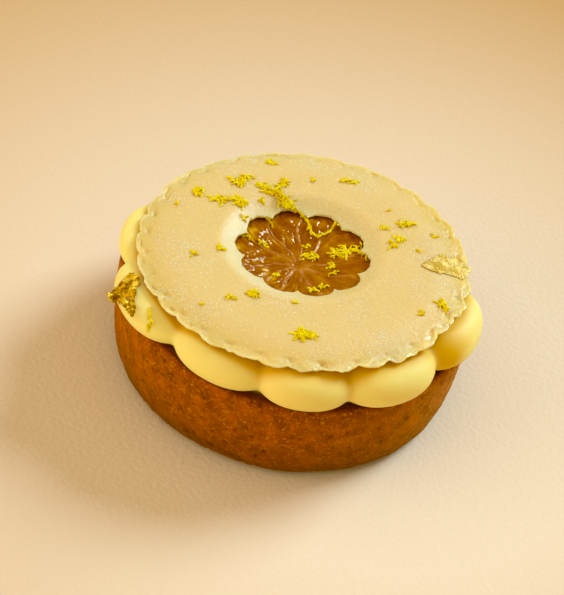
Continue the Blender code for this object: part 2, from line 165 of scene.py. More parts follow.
scene = bpy.context.scene
scene.view_settings.view_transform = "Standard"
scene.view_settings.look = "None"
scene.view_settings.exposure = 0.0
scene.view_settings.gamma = 1.0
scene.view_settings.use_curve_mapping = True
scene.view_settings.curve_mapping.black_level = (0.0, 0.004, 0.022)

world = bpy.data.worlds.new("warm room")
scene.world = world
world.use_nodes = True
tree = world.node_tree
direction = add_node(tree, "ShaderNodeTexCoord").outputs["Generated"]
facing = add_node(tree, "ShaderNodeVectorMath", {0: direction, 1: BRIGHT_SKY}, operation="DOT_PRODUCT")
sky = add_node(
    tree,
    "ShaderNodeMapRange",
    {"Value": facing, "From Min": -0.4, "From Max": 1.0, "To Min": 0.34, "To Max": 0.80},
)
fill(tree.nodes["Background"], {"Color": (1.03, 0.86, 0.61, 1.0), "Strength": sky})

key = bpy.data.lights.new("key", "SUN")
key.color = (0.68, 0.87, 1.03)
key.energy = 3.1
key.angle = KEY_SOFTNESS
key_object = bpy.data.objects.new("key", key)
scene.collection.objects.link(key_object)
towards_key = Vector((math.cos(KEY_AZIMUTH), math.sin(KEY_AZIMUTH), math.tan(KEY_ELEVATION)))
key_object.rotation_euler = towards_key.to_track_quat("Z", "Y").to_euler()

lamp = bpy.data.lights.new("left fill", "AREA")
lamp.color = (1.0, 0.87, 0.70)
lamp.energy = 6.3
lamp.size = FILL_SIZE
lamp_object = bpy.data.objects.new("left fill", lamp)
scene.collection.objects.link(lamp_object)
lamp_object.location = FILL_PLACE
lamp_object.rotation_euler = FILL_PLACE.to_track_quat("Z", "Y").to_euler()
print(f"fill lamp {FILL_PLACE.length:.2f} m away")

# %% Floor
FLOOR_SIZE = 6.0
FLOOR_BRIGHTEST = (0.02, -0.005, 0.0)

floor_mesh = bpy.data.meshes.new("floor")
build = bmesh.new()
bmesh.ops.create_grid(build, x_segments=1, y_segments=1, size=FLOOR_SIZE / 2)
build.to_mesh(floor_mesh)
build.free()
floor = bpy.data.objects.new("floor", floor_mesh)
scene.collection.objects.link(floor)

paper, tree, shader = new_finish("peach paper", {"Roughness": 0.9, "Specular IOR Level": 0.1})
place = add_node(tree, "ShaderNodeTexCoord").outputs["Object"]
# Painted light falloff: the paper darkens with its distance from the brightest spot
away = add_node(tree, "ShaderNodeVectorMath", {0: place, 1: FLOOR_BRIGHTEST}, operation="DISTANCE")
depth = add_node(tree, "ShaderNodeMapRange", {"Value": away, "From Min": 0.05, "From Max": 0.16})
tint = add_node(
    tree,
    "ShaderNodeMix",
    {"Factor": depth, "A": linear("#f0dbbe"), "B": linear("#cda472")},
    data_type="RGBA",
)
tooth = add_node(tree, "ShaderNodeTexNoise", {"Vector": place, "Scale": 900.0, "Detail": 5.0})
bump = add_node(tree, "ShaderNodeBump", {"Height": tooth, "Strength": 0.5, "Distance": 0.0003})
fill(shader, {"Base Color": tint, "Normal": bump})
floor_mesh.materials.append(paper)

# %% [markdown]
# ## Building meshes from rows of points
# Most pieces of this tart are lofts: rows of points that follow a formula. One helper turns such a grid
# into a mesh, and another one bakes a piece's modifiers into plain faces once they have done their work.


# %% Mesh helpers
def grid_mesh(name, rows, wrap_rows=False, cap=False):
    """A mesh from rows of points in mm; each row is a closed ring, and wrap_rows joins last to first."""
    rows = np.asarray(rows, float)
    count, length = rows.shape[:2]
    numbers = np.arange(count * length).reshape(count, length)
    upper = np.roll(numbers, -1, axis=0) if wrap_rows else numbers[1:]
    lower = numbers if wrap_rows else numbers[:-1]
    quads = np.stack([lower, np.roll(lower, -1, axis=1), np.roll(upper, -1, axis=1), upper], axis=-1)
    faces = quads.reshape(-1, 4).tolist()
    if cap:
        faces += [numbers[0].tolist()[::-1], numbers[-1].tolist()]
    mesh = bpy.data.meshes.new(name)
    mesh.from_pydata((rows.reshape(-1, 3) * MM).tolist(), [], faces)
    fix = bmesh.new()
    fix.from_mesh(mesh)
    bmesh.ops.recalc_face_normals(fix, faces=fix.faces)
    fix.to_mesh(mesh)
    fix.free()
    mesh.shade_smooth()
    return mesh


def new_piece(name, mesh, finish=None):
    """An object at the origin that shows a mesh in one finish."""
    piece = bpy.data.objects.new(name, mesh)
    scene.collection.objects.link(piece)
    if finish:
        mesh.materials.clear()
        mesh.materials.append(finish)
    return piece


def settle(piece):
    """Replaces a piece's mesh with what its modifiers make of it, and removes them."""
    graph = bpy.context.evaluated_depsgraph_get()
    made = bpy.data.meshes.new_from_object(
        piece.evaluated_get(graph), preserve_all_data_layers=True, depsgraph=graph
    )
    piece.modifiers.clear()
    piece.data = made
    print(f"{piece.name}: {len(made.polygons)} faces")


def run_tree(piece, tree, **values):
    """Gives a piece a Geometry Nodes tree with these inputs, and settles it."""
    modifier = piece.modifiers.new(tree.name, "NODES")
    modifier.node_group = tree
    for item in tree.interface.items_tree:
        if item.in_out == "INPUT" and item.name in values:
            modifier[item.identifier] = values[item.name]
    settle(piece)


INPUT_KINDS = {"Material": "NodeSocketMaterial", "Seed": "NodeSocketInt"}


def new_tree(name, *inputs):
    """An empty Geometry Nodes tree with geometry in and out and these inputs, which are sizes or shares."""
    tree = bpy.data.node_groups.new(name, "GeometryNodeTree")
    tree.interface.new_socket("Geometry", in_out="INPUT", socket_type="NodeSocketGeometry")
    tree.interface.new_socket("Geometry", in_out="OUTPUT", socket_type="NodeSocketGeometry")
    for socket in inputs:
        kind = INPUT_KINDS.get(socket, "NodeSocketFloat")
        tree.interface.new_socket(socket, in_out="INPUT", socket_type=kind)
    return tree, add_node(tree, "NodeGroupInput").outputs


def close_tree(tree, geometry, material):
    """Makes a tree's instances real, gives its geometry a finish and hands it out."""
    real = add_node(tree, "GeometryNodeRealizeInstances", {"Geometry": geometry})
    finished = add_node(tree, "GeometryNodeSetMaterial", {"Geometry": real, "Material": material})
    add_node(tree, "NodeGroupOutput", {"Geometry": finished})


def mark(mesh, **shares):
    """Stores a number for each point of a mesh under each name, for a finish or a tree to read."""
    for name, values in shares.items():
        mesh.attributes.new(name, "FLOAT", "POINT").data.foreach_set("value", values)


# %% [markdown]
# ## The pastry
# Shortcrust is baked until the butter and sugar in it brown, so it is caramel-coloured and matt, with a
# fine sandy grain, paler flecks of flour and small dark pits. The browned patches and the pits are about
# 3 mm apart and the sandy grain is under 1 mm. The crust is darker towards the foot, and its rim gets
# painted shade for the dark gap under the cream. A little sheen stands for the loose crumbs that catch
# light at the sides.

# %% Finish: baked shortcrust
crust, tree, shader = new_finish(
    "baked shortcrust pastry",
    {
        "Roughness": 0.7,
        "Specular IOR Level": 0.15,
        "Sheen Weight": 0.5,
        "Sheen Roughness": 0.45,
        "Sheen Tint": linear("#ffb45a"),
    },
)
place = add_node(tree, "ShaderNodeTexCoord").outputs["Object"]
patches = add_node(
    tree, "ShaderNodeTexNoise", {"Vector": place, "Scale": 330.0, "Detail": 5.0, "Roughness": 0.65}
)
contrast = add_node(tree, "ShaderNodeMapRange", {"Value": patches, "From Min": 0.33, "From Max": 0.67})
brown = add_node(
    tree,
    "ShaderNodeMix",
    {"Factor": contrast, "A": linear("#763004"), "B": linear("#b6590c")},
    data_type="RGBA",
)
grain = add_node(
    tree, "ShaderNodeTexNoise", {"Vector": place, "Scale": 1500.0, "Detail": 5.0, "Roughness": 0.7}
)
sandy = add_node(
    tree, "ShaderNodeMapRange", {"Value": grain, "From Min": 0.54, "From Max": 0.68, "To Max": 0.9}
)
cells = add_node(tree, "ShaderNodeTexVoronoi", {"Vector": place, "Scale": 330.0})
pit = add_node(
    tree,
    "ShaderNodeMapRange",
    {"Value": cells, "From Min": 0.08, "From Max": 0.24, "To Min": 0.75, "To Max": 0.0},
)
height = add_node(tree, "ShaderNodeSeparateXYZ", {0: place}).outputs["Z"]
foot = add_node(
    tree,
    "ShaderNodeMapRange",
    {"Value": height, "From Min": 0.0, "From Max": 0.012, "To Min": 0.8, "To Max": 0.0},
)
flat = add_node(tree, "ShaderNodeVectorMath", {0: place, 1: (1.0, 1.0, 0.0)}, operation="MULTIPLY")
reach = add_node(tree, "ShaderNodeVectorMath", {0: flat}, operation="LENGTH")
# Painted shade: inside about 36 mm from the axis the crust is darkened, which shows on the rim's top face
# under the cream
rim = add_node(
    tree,
    "ShaderNodeMapRange",
    {"Value": reach, "From Min": 0.0362, "From Max": 0.0371, "To Min": 0.9, "To Max": 0.0},
)
# The darker foot and the painted shade on the rim mix in the same dark brown
dark_foot_and_shaded_rim = add_node(tree, "ShaderNodeMath", {0: foot, 1: rim}, operation="MAXIMUM")
for amount, colour in ((sandy, "#d88e28"), (pit, "#5a2403"), (dark_foot_and_shaded_rim, "#521c02")):
    brown = add_node(
        tree, "ShaderNodeMix", {"Factor": amount, "A": brown, "B": linear(colour)}, data_type="RGBA"
    )
bump = add_node(tree, "ShaderNodeBump", {"Height": grain, "Strength": 0.9, "Distance": 0.0004})
fill(shader, {"Base Color": brown, "Normal": bump})

# %% [markdown]
# ## The case
# A case is a turned shape: one profile goes round the axis. The corners of the profile are cut a few
# times over, which rounds them as baked dough is rounded. A Geometry Nodes tree then pushes the surface
# in and out with three sizes of noise, because a real case is never quite even. Its base stays flat.


# %% Case profile
def soften(points, rounds):
    """Cuts the corners of an open outline, which rounds it, and keeps its two ends."""
    for _ in range(rounds):
        cut = [points[0]]
        for start, end in zip(points, points[1:]):
            cut += [0.75 * start + 0.25 * end, 0.25 * start + 0.75 * end]
        points = cut + [points[-1]]
    return points


def respace(points, ends, counts):
    """Points along an outline: counts[i] of them up to where it passes the share ends[i] of its length."""
    points = np.array(points)
    travelled = np.concatenate([[0], np.cumsum(np.linalg.norm(np.diff(points, axis=0), axis=1))])
    stops = []
    start = 0.0
    for end, number in zip(ends, counts):
        stops += list(np.linspace(start, end, number, endpoint=False))
        start = end
    stops = np.array(stops + [start]) * travelled[-1]
    return np.stack([np.interp(stops, travelled, points[:, i]) for i in range(2)], axis=1)


def turned_rows(outline, steps):
    """Rings of an outline of radius and height that is turned round the tart's axis."""
    turns = np.linspace(0, 2 * math.pi, steps, endpoint=False)
    across, along = np.cos(turns), np.sin(turns)
    return [
        np.stack([radius * across, radius * along, np.full(steps, height)], axis=1)
        for radius, height in outline
    ]


RIM_WIDTH = 3.2
CASE_FLOOR = 18.0
CASE_STEPS = 520
outline = [(0.3, CASE_FLOOR), (CASE_RADIUS - RIM_WIDTH, CASE_FLOOR), (CASE_RADIUS - RIM_WIDTH, 20.7)]
outline += [(CASE_RADIUS - 2.2, 21.1), (CASE_RADIUS - 0.9, 21.1), (CASE_RADIUS - 0.05, 20.2)]
outline += [(CASE_RADIUS - 0.15, 11.0), (36.5, 3.6), (35.6, 1.0), (33.2, 0.0), (0.3, 0.0)]
profile = soften([np.array(point) for point in outline], 3)
profile = respace(profile, (0.36, 0.69, 1.0), (6, 64, 6))
case = new_piece("case", grid_mesh("case", turned_rows(profile, CASE_STEPS), cap=True), crust)
print(f"case outline: {len(profile)} points")

# %% Geometry Nodes: relief for baked dough
dough_relief, given = new_tree("dough relief", "Swell", "Lumps", "Grain", "Pits", "Material")
spot = add_node(dough_relief, "GeometryNodeInputPosition")
cells = add_node(dough_relief, "ShaderNodeTexVoronoi", {"Vector": spot, "Scale": 330.0})
hollow = add_node(
    dough_relief,
    "ShaderNodeMapRange",
    {"Value": cells, "From Min": 0.08, "From Max": 0.3, "To Min": -1.0, "To Max": 0.0},
)
total = add_node(dough_relief, "ShaderNodeMath", {0: hollow, 1: given["Pits"]}, operation="MULTIPLY")
# The dough swells over about 18 mm, has lumps of 4 mm and a grain of 1 mm
for size, scale in (("Swell", 55.0), ("Lumps", 280.0), ("Grain", 900.0)):
    layer = add_node(dough_relief, "ShaderNodeTexNoise", {"Vector": spot, "Scale": scale, "Detail": 2.0})
    centred = add_node(dough_relief, "ShaderNodeMath", {0: layer, 1: 0.5}, operation="SUBTRACT")
    total = add_node(
        dough_relief, "ShaderNodeMath", {0: centred, 1: given[size], 2: total}, operation="MULTIPLY_ADD"
    )
height = add_node(dough_relief, "ShaderNodeSeparateXYZ", {0: spot}).outputs["Z"]
off_base = add_node(
    dough_relief, "ShaderNodeMapRange", {"Value": height, "From Min": 0.0001, "From Max": 0.0012}
)
total = add_node(dough_relief, "ShaderNodeMath", {0: total, 1: off_base}, operation="MULTIPLY")
outward = add_node(dough_relief, "GeometryNodeInputNormal")
push = add_node(dough_relief, "ShaderNodeVectorMath", {0: outward, "Scale": total}, operation="SCALE")
moved = add_node(
    dough_relief, "GeometryNodeSetPosition", {"Geometry": given["Geometry"], "Offset": push}
)
close_tree(dough_relief, moved, given["Material"])

run_tree(
    case, dough_relief, Swell=0.7 * MM, Lumps=0.5 * MM, Grain=0.4 * MM, Pits=0.22 * MM, Material=crust
)
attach(case, "root")
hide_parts("tart_case")

# %% [markdown]
# ## The disc
# The disc is the piece that sets the whole look: a thin sheet of white chocolate, cut with a fluted
# cutter, warm enough to sag at its edge. Its middle has a flower-shaped window with a shallow dish round
# it. The sheet is a loft from the window's outline to the edge, over the top and back underneath.

# %% Disc sizes
DISC_LEVEL = 28.4
DISC_SLOPE = (0.049, -0.044)
DISC_THICKNESS = 1.5
DISC_EDGE_THICKNESS = 0.45
WINDOW_EDGE_THICKNESS = 0.45
EDGE_DROOP = 1.1
DROOP_START = 26.0
WINDOW_CENTRE = np.array((-0.4, 2.1))
WINDOW_RADIUS = 13.8
WINDOW_NOTCH_RADIUS = 12.0
WINDOW_LOBES = 10
WINDOW_TURN = math.radians(3.0)
WINDOW_STRETCH = np.array((1.03, 1.0))
WINDOW_FRAY = 0.22
DISH_START = 12.5
DISH_RADIUS = 18.2
DISH_DEPTH = 2.2
FLUTES = 32
FLUTE_TURN = math.radians(-1.7)
FLUTE_DEPTH = 0.55
FLUTE_RELIEF = 0.35
GROOVE_DEPTH = 0.3
WARM_SIDE = math.radians(-35)
DISC_STEPS = 860


def disc_top(x, y):
    """Height of the disc's upper face before its flutes are pressed in; x and y are arrays in mm."""
    from_window = np.hypot(x - WINDOW_CENTRE[0], y - WINDOW_CENTRE[1])
    droop = EDGE_DROOP * ease(DROOP_START, DISC_RADIUS, np.hypot(x, y))
    dish = DISH_DEPTH * (1 - ease(DISH_START, DISH_RADIUS, from_window))
    return DISC_LEVEL + DISC_SLOPE[0] * x + DISC_SLOPE[1] * y + EDGE_DROOP - droop - dish


def disc_thickness(x, y):
    """Thickness of the disc, which thins towards its edge and towards the window."""
    from_window = np.hypot(x - WINDOW_CENTRE[0], y - WINDOW_CENTRE[1])
    near_edge = ease(0.85 * DISC_RADIUS, DISC_RADIUS, np.hypot(x, y))
    near_window = 1 - ease(WINDOW_NOTCH_RADIUS, DISH_RADIUS, from_window)
    thickness = DISC_THICKNESS + (DISC_EDGE_THICKNESS - DISC_THICKNESS) * near_edge
    return thickness + (WINDOW_EDGE_THICKNESS - DISC_THICKNESS) * near_window


# %% Disc mesh
angles = np.linspace(0, 2 * math.pi, DISC_STEPS, endpoint=False)
directions = np.stack([np.cos(angles), np.sin(angles)], axis=1)
lobes = np.abs(np.cos(WINDOW_LOBES / 2 * (angles - WINDOW_TURN))) ** 0.7
frayed = WINDOW_FRAY * rough(np.column_stack([WINDOW_RADIUS * directions, 0 * angles]), 1.1, 3.0)
window_reach = WINDOW_NOTCH_RADIUS + (WINDOW_RADIUS - WINDOW_NOTCH_RADIUS) * lobes + frayed
window_edge = WINDOW_CENTRE + WINDOW_STRETCH * directions * window_reach[:, None]
outer_edge = directions * (DISC_RADIUS + 0.3)
edge_points = np.column_stack([outer_edge, 0 * angles])
warmth = np.maximum(np.cos(angles - WARM_SIDE), 0)
pressed = np.clip(3.0 * rough(edge_points, 2.6, 11.0) - 0.1, 0, 1) * (1 - 0.4 * warmth)


def disc_row(share, side):
    """A ring of the disc: share 0 is the window and 1 the edge, side 1 the top and -1 the underside."""
    flat = window_edge + share * (outer_edge - window_edge)
    half = disc_thickness(flat[:, 0], flat[:, 1]) / 2
    middle = disc_top(flat[:, 0], flat[:, 1]) - half
    groove = GROOVE_DEPTH * pressed * math.exp(-(((share - 0.95) / 0.014) ** 2)) if side > 0 else 0.0
    return np.column_stack([flat, middle + side * half - groove])


inner_half = WINDOW_EDGE_THICKNESS / 2 / (DISC_RADIUS - WINDOW_RADIUS)
outer_half = DISC_EDGE_THICKNESS / 2 / (DISC_RADIUS - WINDOW_RADIUS)
rows = []
for turn in np.linspace(-90, 90, 7)[1:-1]:
    angle = math.radians(turn)
    rows.append(disc_row(inner_half * (1 - math.cos(angle)), math.sin(angle)))
# The rings lie closer together towards the edge, where the flutes need them
stretches = [np.linspace(0, 0.3, 12, endpoint=False), np.linspace(0.3, 0.7, 12, endpoint=False)]
top_shares = np.concatenate([*stretches, np.linspace(0.7, 1, 34)])
top_shares = inner_half + (1 - inner_half - outer_half) * top_shares
rows += [disc_row(share, 1) for share in top_shares]
for turn in np.linspace(90, -90, 9)[1:-1]:
    angle = math.radians(turn)
    rows.append(disc_row(1 - outer_half * (1 - math.cos(angle)), math.sin(angle)))
rows += [disc_row(share, -1) for share in top_shares[::-2]]
disc_mesh = grid_mesh("disc", rows, wrap_rows=True)
print("disc:", len(disc_mesh.vertices), "points")

# %% Where the disc changes colour
# Each point gets three shares: rim, how much painted light makes it paler, wet, how far it has melted,
# and shaded, how much painted shade deepens its yellow. The edge is crisp at the left, where its lip gets
# a pale line of painted light, and melted at the front right
shares = np.array([0.0] * 5 + list(top_shares) + [1.0] * 7 + [0.0] * len(top_shares[::-2]))
lip_light = 0.25 + 0.75 * ease(-12.0, 12.0, -outer_edge[:, 0])
lip_light *= np.clip(0.75 + rough(edge_points, 2.2, 5.0), 0, 1)
rim = 0.8 * np.outer(ease(0.974, 0.99, shares), lip_light).ravel()
wet = np.outer(ease(0.88, 0.96, shares), warmth**1.5).ravel()
# Painted light: the dish's slopes are painted paler than the rest, most of all the near left one, which
# faces the light
spots = np.array([vertex.co[:2] for vertex in disc_mesh.vertices]) / MM - WINDOW_CENTRE
from_window = np.hypot(spots[:, 0], spots[:, 1])
sloped = ease(WINDOW_NOTCH_RADIUS, 14.0, from_window) * (1 - ease(15.5, DISH_RADIUS + 0.8, from_window))
towards_light = np.cos(np.arctan2(spots[:, 1], spots[:, 0]) - KEY_AZIMUTH)
slope_shine = 0.5 * np.clip(-towards_light, 0, 1) + 0.4 * np.clip(towards_light, 0, 1)
rim = np.maximum(rim, sloped * slope_shine)
# Painted shade: the border is painted a deeper yellow, except at the back, and so are the dimples behind its
# lip
at_back = np.clip(np.cos(angles - math.radians(100)), 0, 1) ** 2
at_right = np.clip(np.cos(angles - math.radians(22)), 0, 1) ** 6
border = ease(0.74, 0.88, shares) + 0.6 * ease(0.9, 0.97, shares)
shaded = 0.3 * np.outer(border, 1 - at_back) + 0.2 * np.outer(ease(0.66, 0.8, shares), at_right)
dimple_shade = 0.7 * np.outer(np.exp(-(((shares - 0.948) / 0.013) ** 2)), pressed)
mark(disc_mesh, rim=rim, wet=wet, shaded=np.maximum(shaded, dimple_shade).ravel())
print(f"{np.mean(wet > 0.5):.0%} of the disc's points are melted")

# %% [markdown]
# ## Finish: white chocolate
# White chocolate for such a disc is tinted pale yellow and, fresh from the cold, has a soft satin
# surface like eggshell. Light enters it a little way, so it gets some subsurface scattering. Where it
# has melted it is smoother and so shinier. A dust of crystals, drawn about 0.4 mm apart so that it still
# shows, lies in drifts of about 12 mm.

# %% Finish: white chocolate
chocolate, tree, shader = new_finish(
    "pale yellow white chocolate",
    {
        "Specular IOR Level": 0.5,
        "Subsurface Weight": 0.8,
        "Subsurface Radius": (1.0, 0.75, 0.28),
        "Subsurface Scale": 0.0024,
    },
)
place = add_node(tree, "ShaderNodeTexCoord").outputs["Object"]
cloud = add_node(tree, "ShaderNodeTexNoise", {"Vector": place, "Scale": 90.0, "Detail": 3.0})
yellow = add_node(
    tree,
    "ShaderNodeMix",
    {"Factor": cloud, "A": linear("#e7c57e"), "B": linear("#ebcb89")},
    data_type="RGBA",
)
# shaded mixes in painted shade and rim painted light, on the lip and the dish slopes; wet is the colour of
# melted chocolate
for name, colour in (("shaded", "#dab540"), ("wet", "#fbd48c"), ("rim", "#fee6b4")):
    amount = add_node(tree, "ShaderNodeAttribute", attribute_name=name).outputs["Fac"]
    if name == "wet":
        gloss = add_node(tree, "ShaderNodeMapRange", {"Value": amount, "To Min": 0.4, "To Max": 0.18})
    yellow = add_node(
        tree, "ShaderNodeMix", {"Factor": amount, "A": yellow, "B": linear(colour)}, data_type="RGBA"
    )
crystals = add_node(tree, "ShaderNodeTexVoronoi", {"Vector": place, "Scale": 2400.0})
crystal = add_node(
    tree,
    "ShaderNodeMapRange",
    {"Value": crystals, "From Min": 0.2, "From Max": 0.42, "To Min": 1.0, "To Max": 0.0},
)
drifts = add_node(tree, "ShaderNodeTexNoise", {"Vector": place, "Scale": 80.0, "Detail": 3.0})
chosen = add_node(
    tree, "ShaderNodeMath", {0: drifts, 1: 0.3, 2: crystals.outputs["Color"]}, operation="MULTIPLY_ADD"
)
shown = add_node(
    tree, "ShaderNodeMapRange", {"Value": chosen, "From Min": 0.8, "From Max": 0.95, "To Max": 0.6}
)
dust = add_node(tree, "ShaderNodeMath", {0: crystal, 1: shown}, operation="MULTIPLY")
frosted = add_node(
    tree, "ShaderNodeMix", {"Factor": dust, "A": yellow, "B": linear("#fff6d8")}, data_type="RGBA"
)
velvet = add_node(
    tree, "ShaderNodeTexNoise", {"Vector": place, "Scale": 1300.0, "Detail": 4.0, "Roughness": 0.6}
)
bump = add_node(tree, "ShaderNodeBump", {"Height": velvet, "Strength": 0.6, "Distance": 0.0003})
fill(shader, {"Base Color": frosted, "Roughness": gloss, "Normal": bump})

# %% [markdown]
# ## Flutes
# The scallops follow a rule: they repeat round the edge. A Geometry Nodes tree reads each point's angle,
# takes the cosine of it times half the number of flutes, and pulls the points between two crests
# inwards and down. Noise changes the depth from flute to flute, frays the edge with small nicks, and
# lets it run where the disc was warmest, at its front right. Such a formula is a long chain of Math
# nodes, so it is written as a table with one row for each node, and one loop builds them all.

# %% Geometry Nodes: flute the edge
FLUTE_SIZES = ("Flutes", "Turn", "Warm Side", "Depth", "Relief", "Undulation", "Melt", "Nicks")
flute_edge, given = new_tree(
    "flute the edge", *FLUTE_SIZES, "Inner Radius", "Outer Radius", "Material"
)
spot = add_node(flute_edge, "GeometryNodeInputPosition")
flat = add_node(flute_edge, "ShaderNodeVectorMath", {0: spot, 1: (1.0, 1.0, 0.0)}, operation="MULTIPLY")
reach = add_node(flute_edge, "ShaderNodeVectorMath", {0: flat}, operation="LENGTH")
axes = add_node(flute_edge, "ShaderNodeSeparateXYZ", {0: spot})
known = {name: given[name] for name in FLUTE_SIZES}
known["x"] = axes.outputs["X"]
known["y"] = axes.outputs["Y"]
# Both run across the fluted strip: near edge from 0 to 1 on the way out, from rim on the way in
for name, low, high, curve in (
    ("near edge", "Inner Radius", "Outer Radius", "SMOOTHSTEP"),
    ("from rim", "Outer Radius", "Inner Radius", "LINEAR"),
):
    known[name] = add_node(
        flute_edge,
        "ShaderNodeMapRange",
        {"Value": reach, "From Min": given[low], "From Max": given[high]},
        interpolation_type=curve,
    )
# Each noise: its name, its scale per metre and its detail; 900 gives nicks of about 1 mm
for name, scale, detail in (
    ("drift", 45.0, 1.0),
    ("uneven", 110.0, 1.0),
    ("lump", 170.0, 2.0),
    ("nick", 900.0, 2.0),
    ("wave", 60.0, 2.0),
    ("blob", 300.0, 3.0),
):
    known[name] = add_node(
        flute_edge, "ShaderNodeTexNoise", {"Vector": spot, "Scale": scale, "Detail": detail}
    )
# Each row is one Math node: the name of its result, what it does and what goes into it
FLUTE_STEPS = (
    ("around", "ARCTAN2", "y", "x"),
    ("turned", "SUBTRACT", "around", "Turn"),
    ("half the flutes", "DIVIDE", "Flutes", 2.0),
    ("wander", "SUBTRACT", "drift", 0.5),
    ("wander", "MULTIPLY", "wander", 1.6),
    ("phase", "MULTIPLY_ADD", "turned", "half the flutes", "wander"),
    ("crest", "COSINE", "phase"),
    ("crest", "ABSOLUTE", "crest"),
    ("crest", "POWER", "crest", 0.7),
    ("between", "SUBTRACT", 1.0, "crest"),
    ("warm", "SUBTRACT", "around", "Warm Side"),
    ("warm", "COSINE", "warm"),
    ("warm", "MAXIMUM", "warm", 0.0),
    ("strength", "MULTIPLY_ADD", "uneven", 1.6, 0.2),
    ("softer", "MULTIPLY_ADD", "warm", 0.45, 1.2),
    ("strength", "MULTIPLY", "strength", "softer"),
    ("press", "MULTIPLY", "between", "strength"),
    ("pinch", "MULTIPLY", "press", "near edge"),
    ("pinch", "MULTIPLY", "pinch", "Depth"),
    ("melt", "MULTIPLY_ADD", "warm", 1.5, 0.5),
    ("melt", "MULTIPLY", "melt", "Melt"),
    ("spill", "SUBTRACT", "lump", 0.5),
    ("spill", "MULTIPLY", "spill", "melt"),
    ("spill", "MULTIPLY", "spill", "near edge"),
    ("nick", "SUBTRACT", "nick", 0.5),
    ("nick", "MULTIPLY", "nick", "near edge"),
    ("outwards", "MULTIPLY_ADD", "nick", "Nicks", "spill"),
    ("outwards", "SUBTRACT", "outwards", "pinch"),
    ("swell", "SUBTRACT", "wave", 0.5),
    ("swell", "MULTIPLY", "swell", "Undulation"),
    ("dimple", "MULTIPLY", "from rim", math.pi),
    ("dimple", "SINE", "dimple"),
    ("dimple", "MULTIPLY", "dimple", "press"),
    ("dimple", "MULTIPLY", "dimple", "Relief"),
    ("upwards", "SUBTRACT", "swell", "dimple"),
    ("fold", "SUBTRACT", "blob", 0.5),
    ("fold", "MULTIPLY", "fold", "melt"),
    ("fold", "MULTIPLY", "fold", "near edge"),
    ("upwards", "MULTIPLY_ADD", "fold", 0.7, "upwards"),
)
for name, operation, *values in FLUTE_STEPS:
    inputs = {place: known.get(value, value) for place, value in enumerate(values)}
    known[name] = add_node(flute_edge, "ShaderNodeMath", inputs, operation=operation)
outward = add_node(flute_edge, "ShaderNodeVectorMath", {0: flat}, operation="NORMALIZE")
pull = add_node(
    flute_edge, "ShaderNodeVectorMath", {0: outward, "Scale": known["outwards"]}, operation="SCALE"
)
lift = add_node(flute_edge, "ShaderNodeCombineXYZ", {"Z": known["upwards"]})
shift = add_node(flute_edge, "ShaderNodeVectorMath", {0: pull, 1: lift}, operation="ADD")
moved = add_node(flute_edge, "GeometryNodeSetPosition", {"Geometry": given["Geometry"], "Offset": shift})
close_tree(flute_edge, moved, given["Material"])

disc = new_piece("disc", disc_mesh, chocolate)
run_tree(
    disc,
    flute_edge,
    **{
        "Flutes": float(FLUTES),
        "Turn": FLUTE_TURN,
        "Warm Side": WARM_SIDE,
        "Depth": FLUTE_DEPTH * MM,
        "Relief": FLUTE_RELIEF * MM,
        "Undulation": 0.45 * MM,
        "Melt": 1.7 * MM,
        "Nicks": 0.7 * MM,
        "Inner Radius": 0.92 * DISC_RADIUS * MM,
        "Outer Radius": 0.985 * DISC_RADIUS * MM,
        "Material": chocolate,
    },
)
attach(disc, "root")
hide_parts("fluted_disc")

# %% [markdown]
# ## Finding a surface
# Zest, crystals and gold lie on other pieces. A ray dropped straight down onto a finished piece gives
# the height at a place, so that nothing floats over it or sinks into it.


# %% Drop onto a surface
def surface_of(piece):
    """A function that gives the height of a piece's upper face, in mm, at x and y in mm."""
    corners = [vertex.co for vertex in piece.data.vertices]
    faces = [tuple(face.vertices) for face in piece.data.polygons]
    finder = BVHTree.FromPolygons(corners, faces)

    def height(x, y):
        hit = finder.ray_cast(Vector((x, y, 60.0)) * MM, Vector((0.0, 0.0, -1.0)))[0]
        return hit.z / MM if hit else None

    return height


on_disc = surface_of(disc)
print(f"disc at its right: {on_disc(30.0, 0.0):.2f} mm above the floor")

# %% [markdown]
# ## The cream
# Each bulb was piped with a plain round nozzle from the rim towards the middle. Bulbs are ball shapes
# pressed into cushions: full at the rim, narrow towards the middle, and flattened by the disc above.
# All the bulbs and their bed are then remeshed as one skin and smoothed, which rounds the clefts
# between them as soft cream does.

# %% Cream sizes
# Each bulb: angle of its middle, half of its width, both in degrees, and how far out it bulges in mm
BULBS = (
    (-14, 18.5, 39.8),
    (-49, 17.5, 39.6),
    (-80, 15.5, 39.0),
    (-111, 17.5, 38.6),
    (-146, 18.5, 40.6),
    (-179, 17.5, 38.4),
    (145, 18.5, 36.4),
    (107, 19.5, 36.0),
    (67, 19.5, 36.8),
    (26, 20.5, 36.8),
)
BULB_INNER_RADIUS = 23.4
BULB_MIDDLE_LEVEL = 24.1
BULB_OVERLAP = 1.13
BULB_ROUNDING_ABOVE = 0.62
BULB_ROUNDING_BELOW = 0.3
REST_GAP = 0.12
CREAM_VOXEL = 0.38


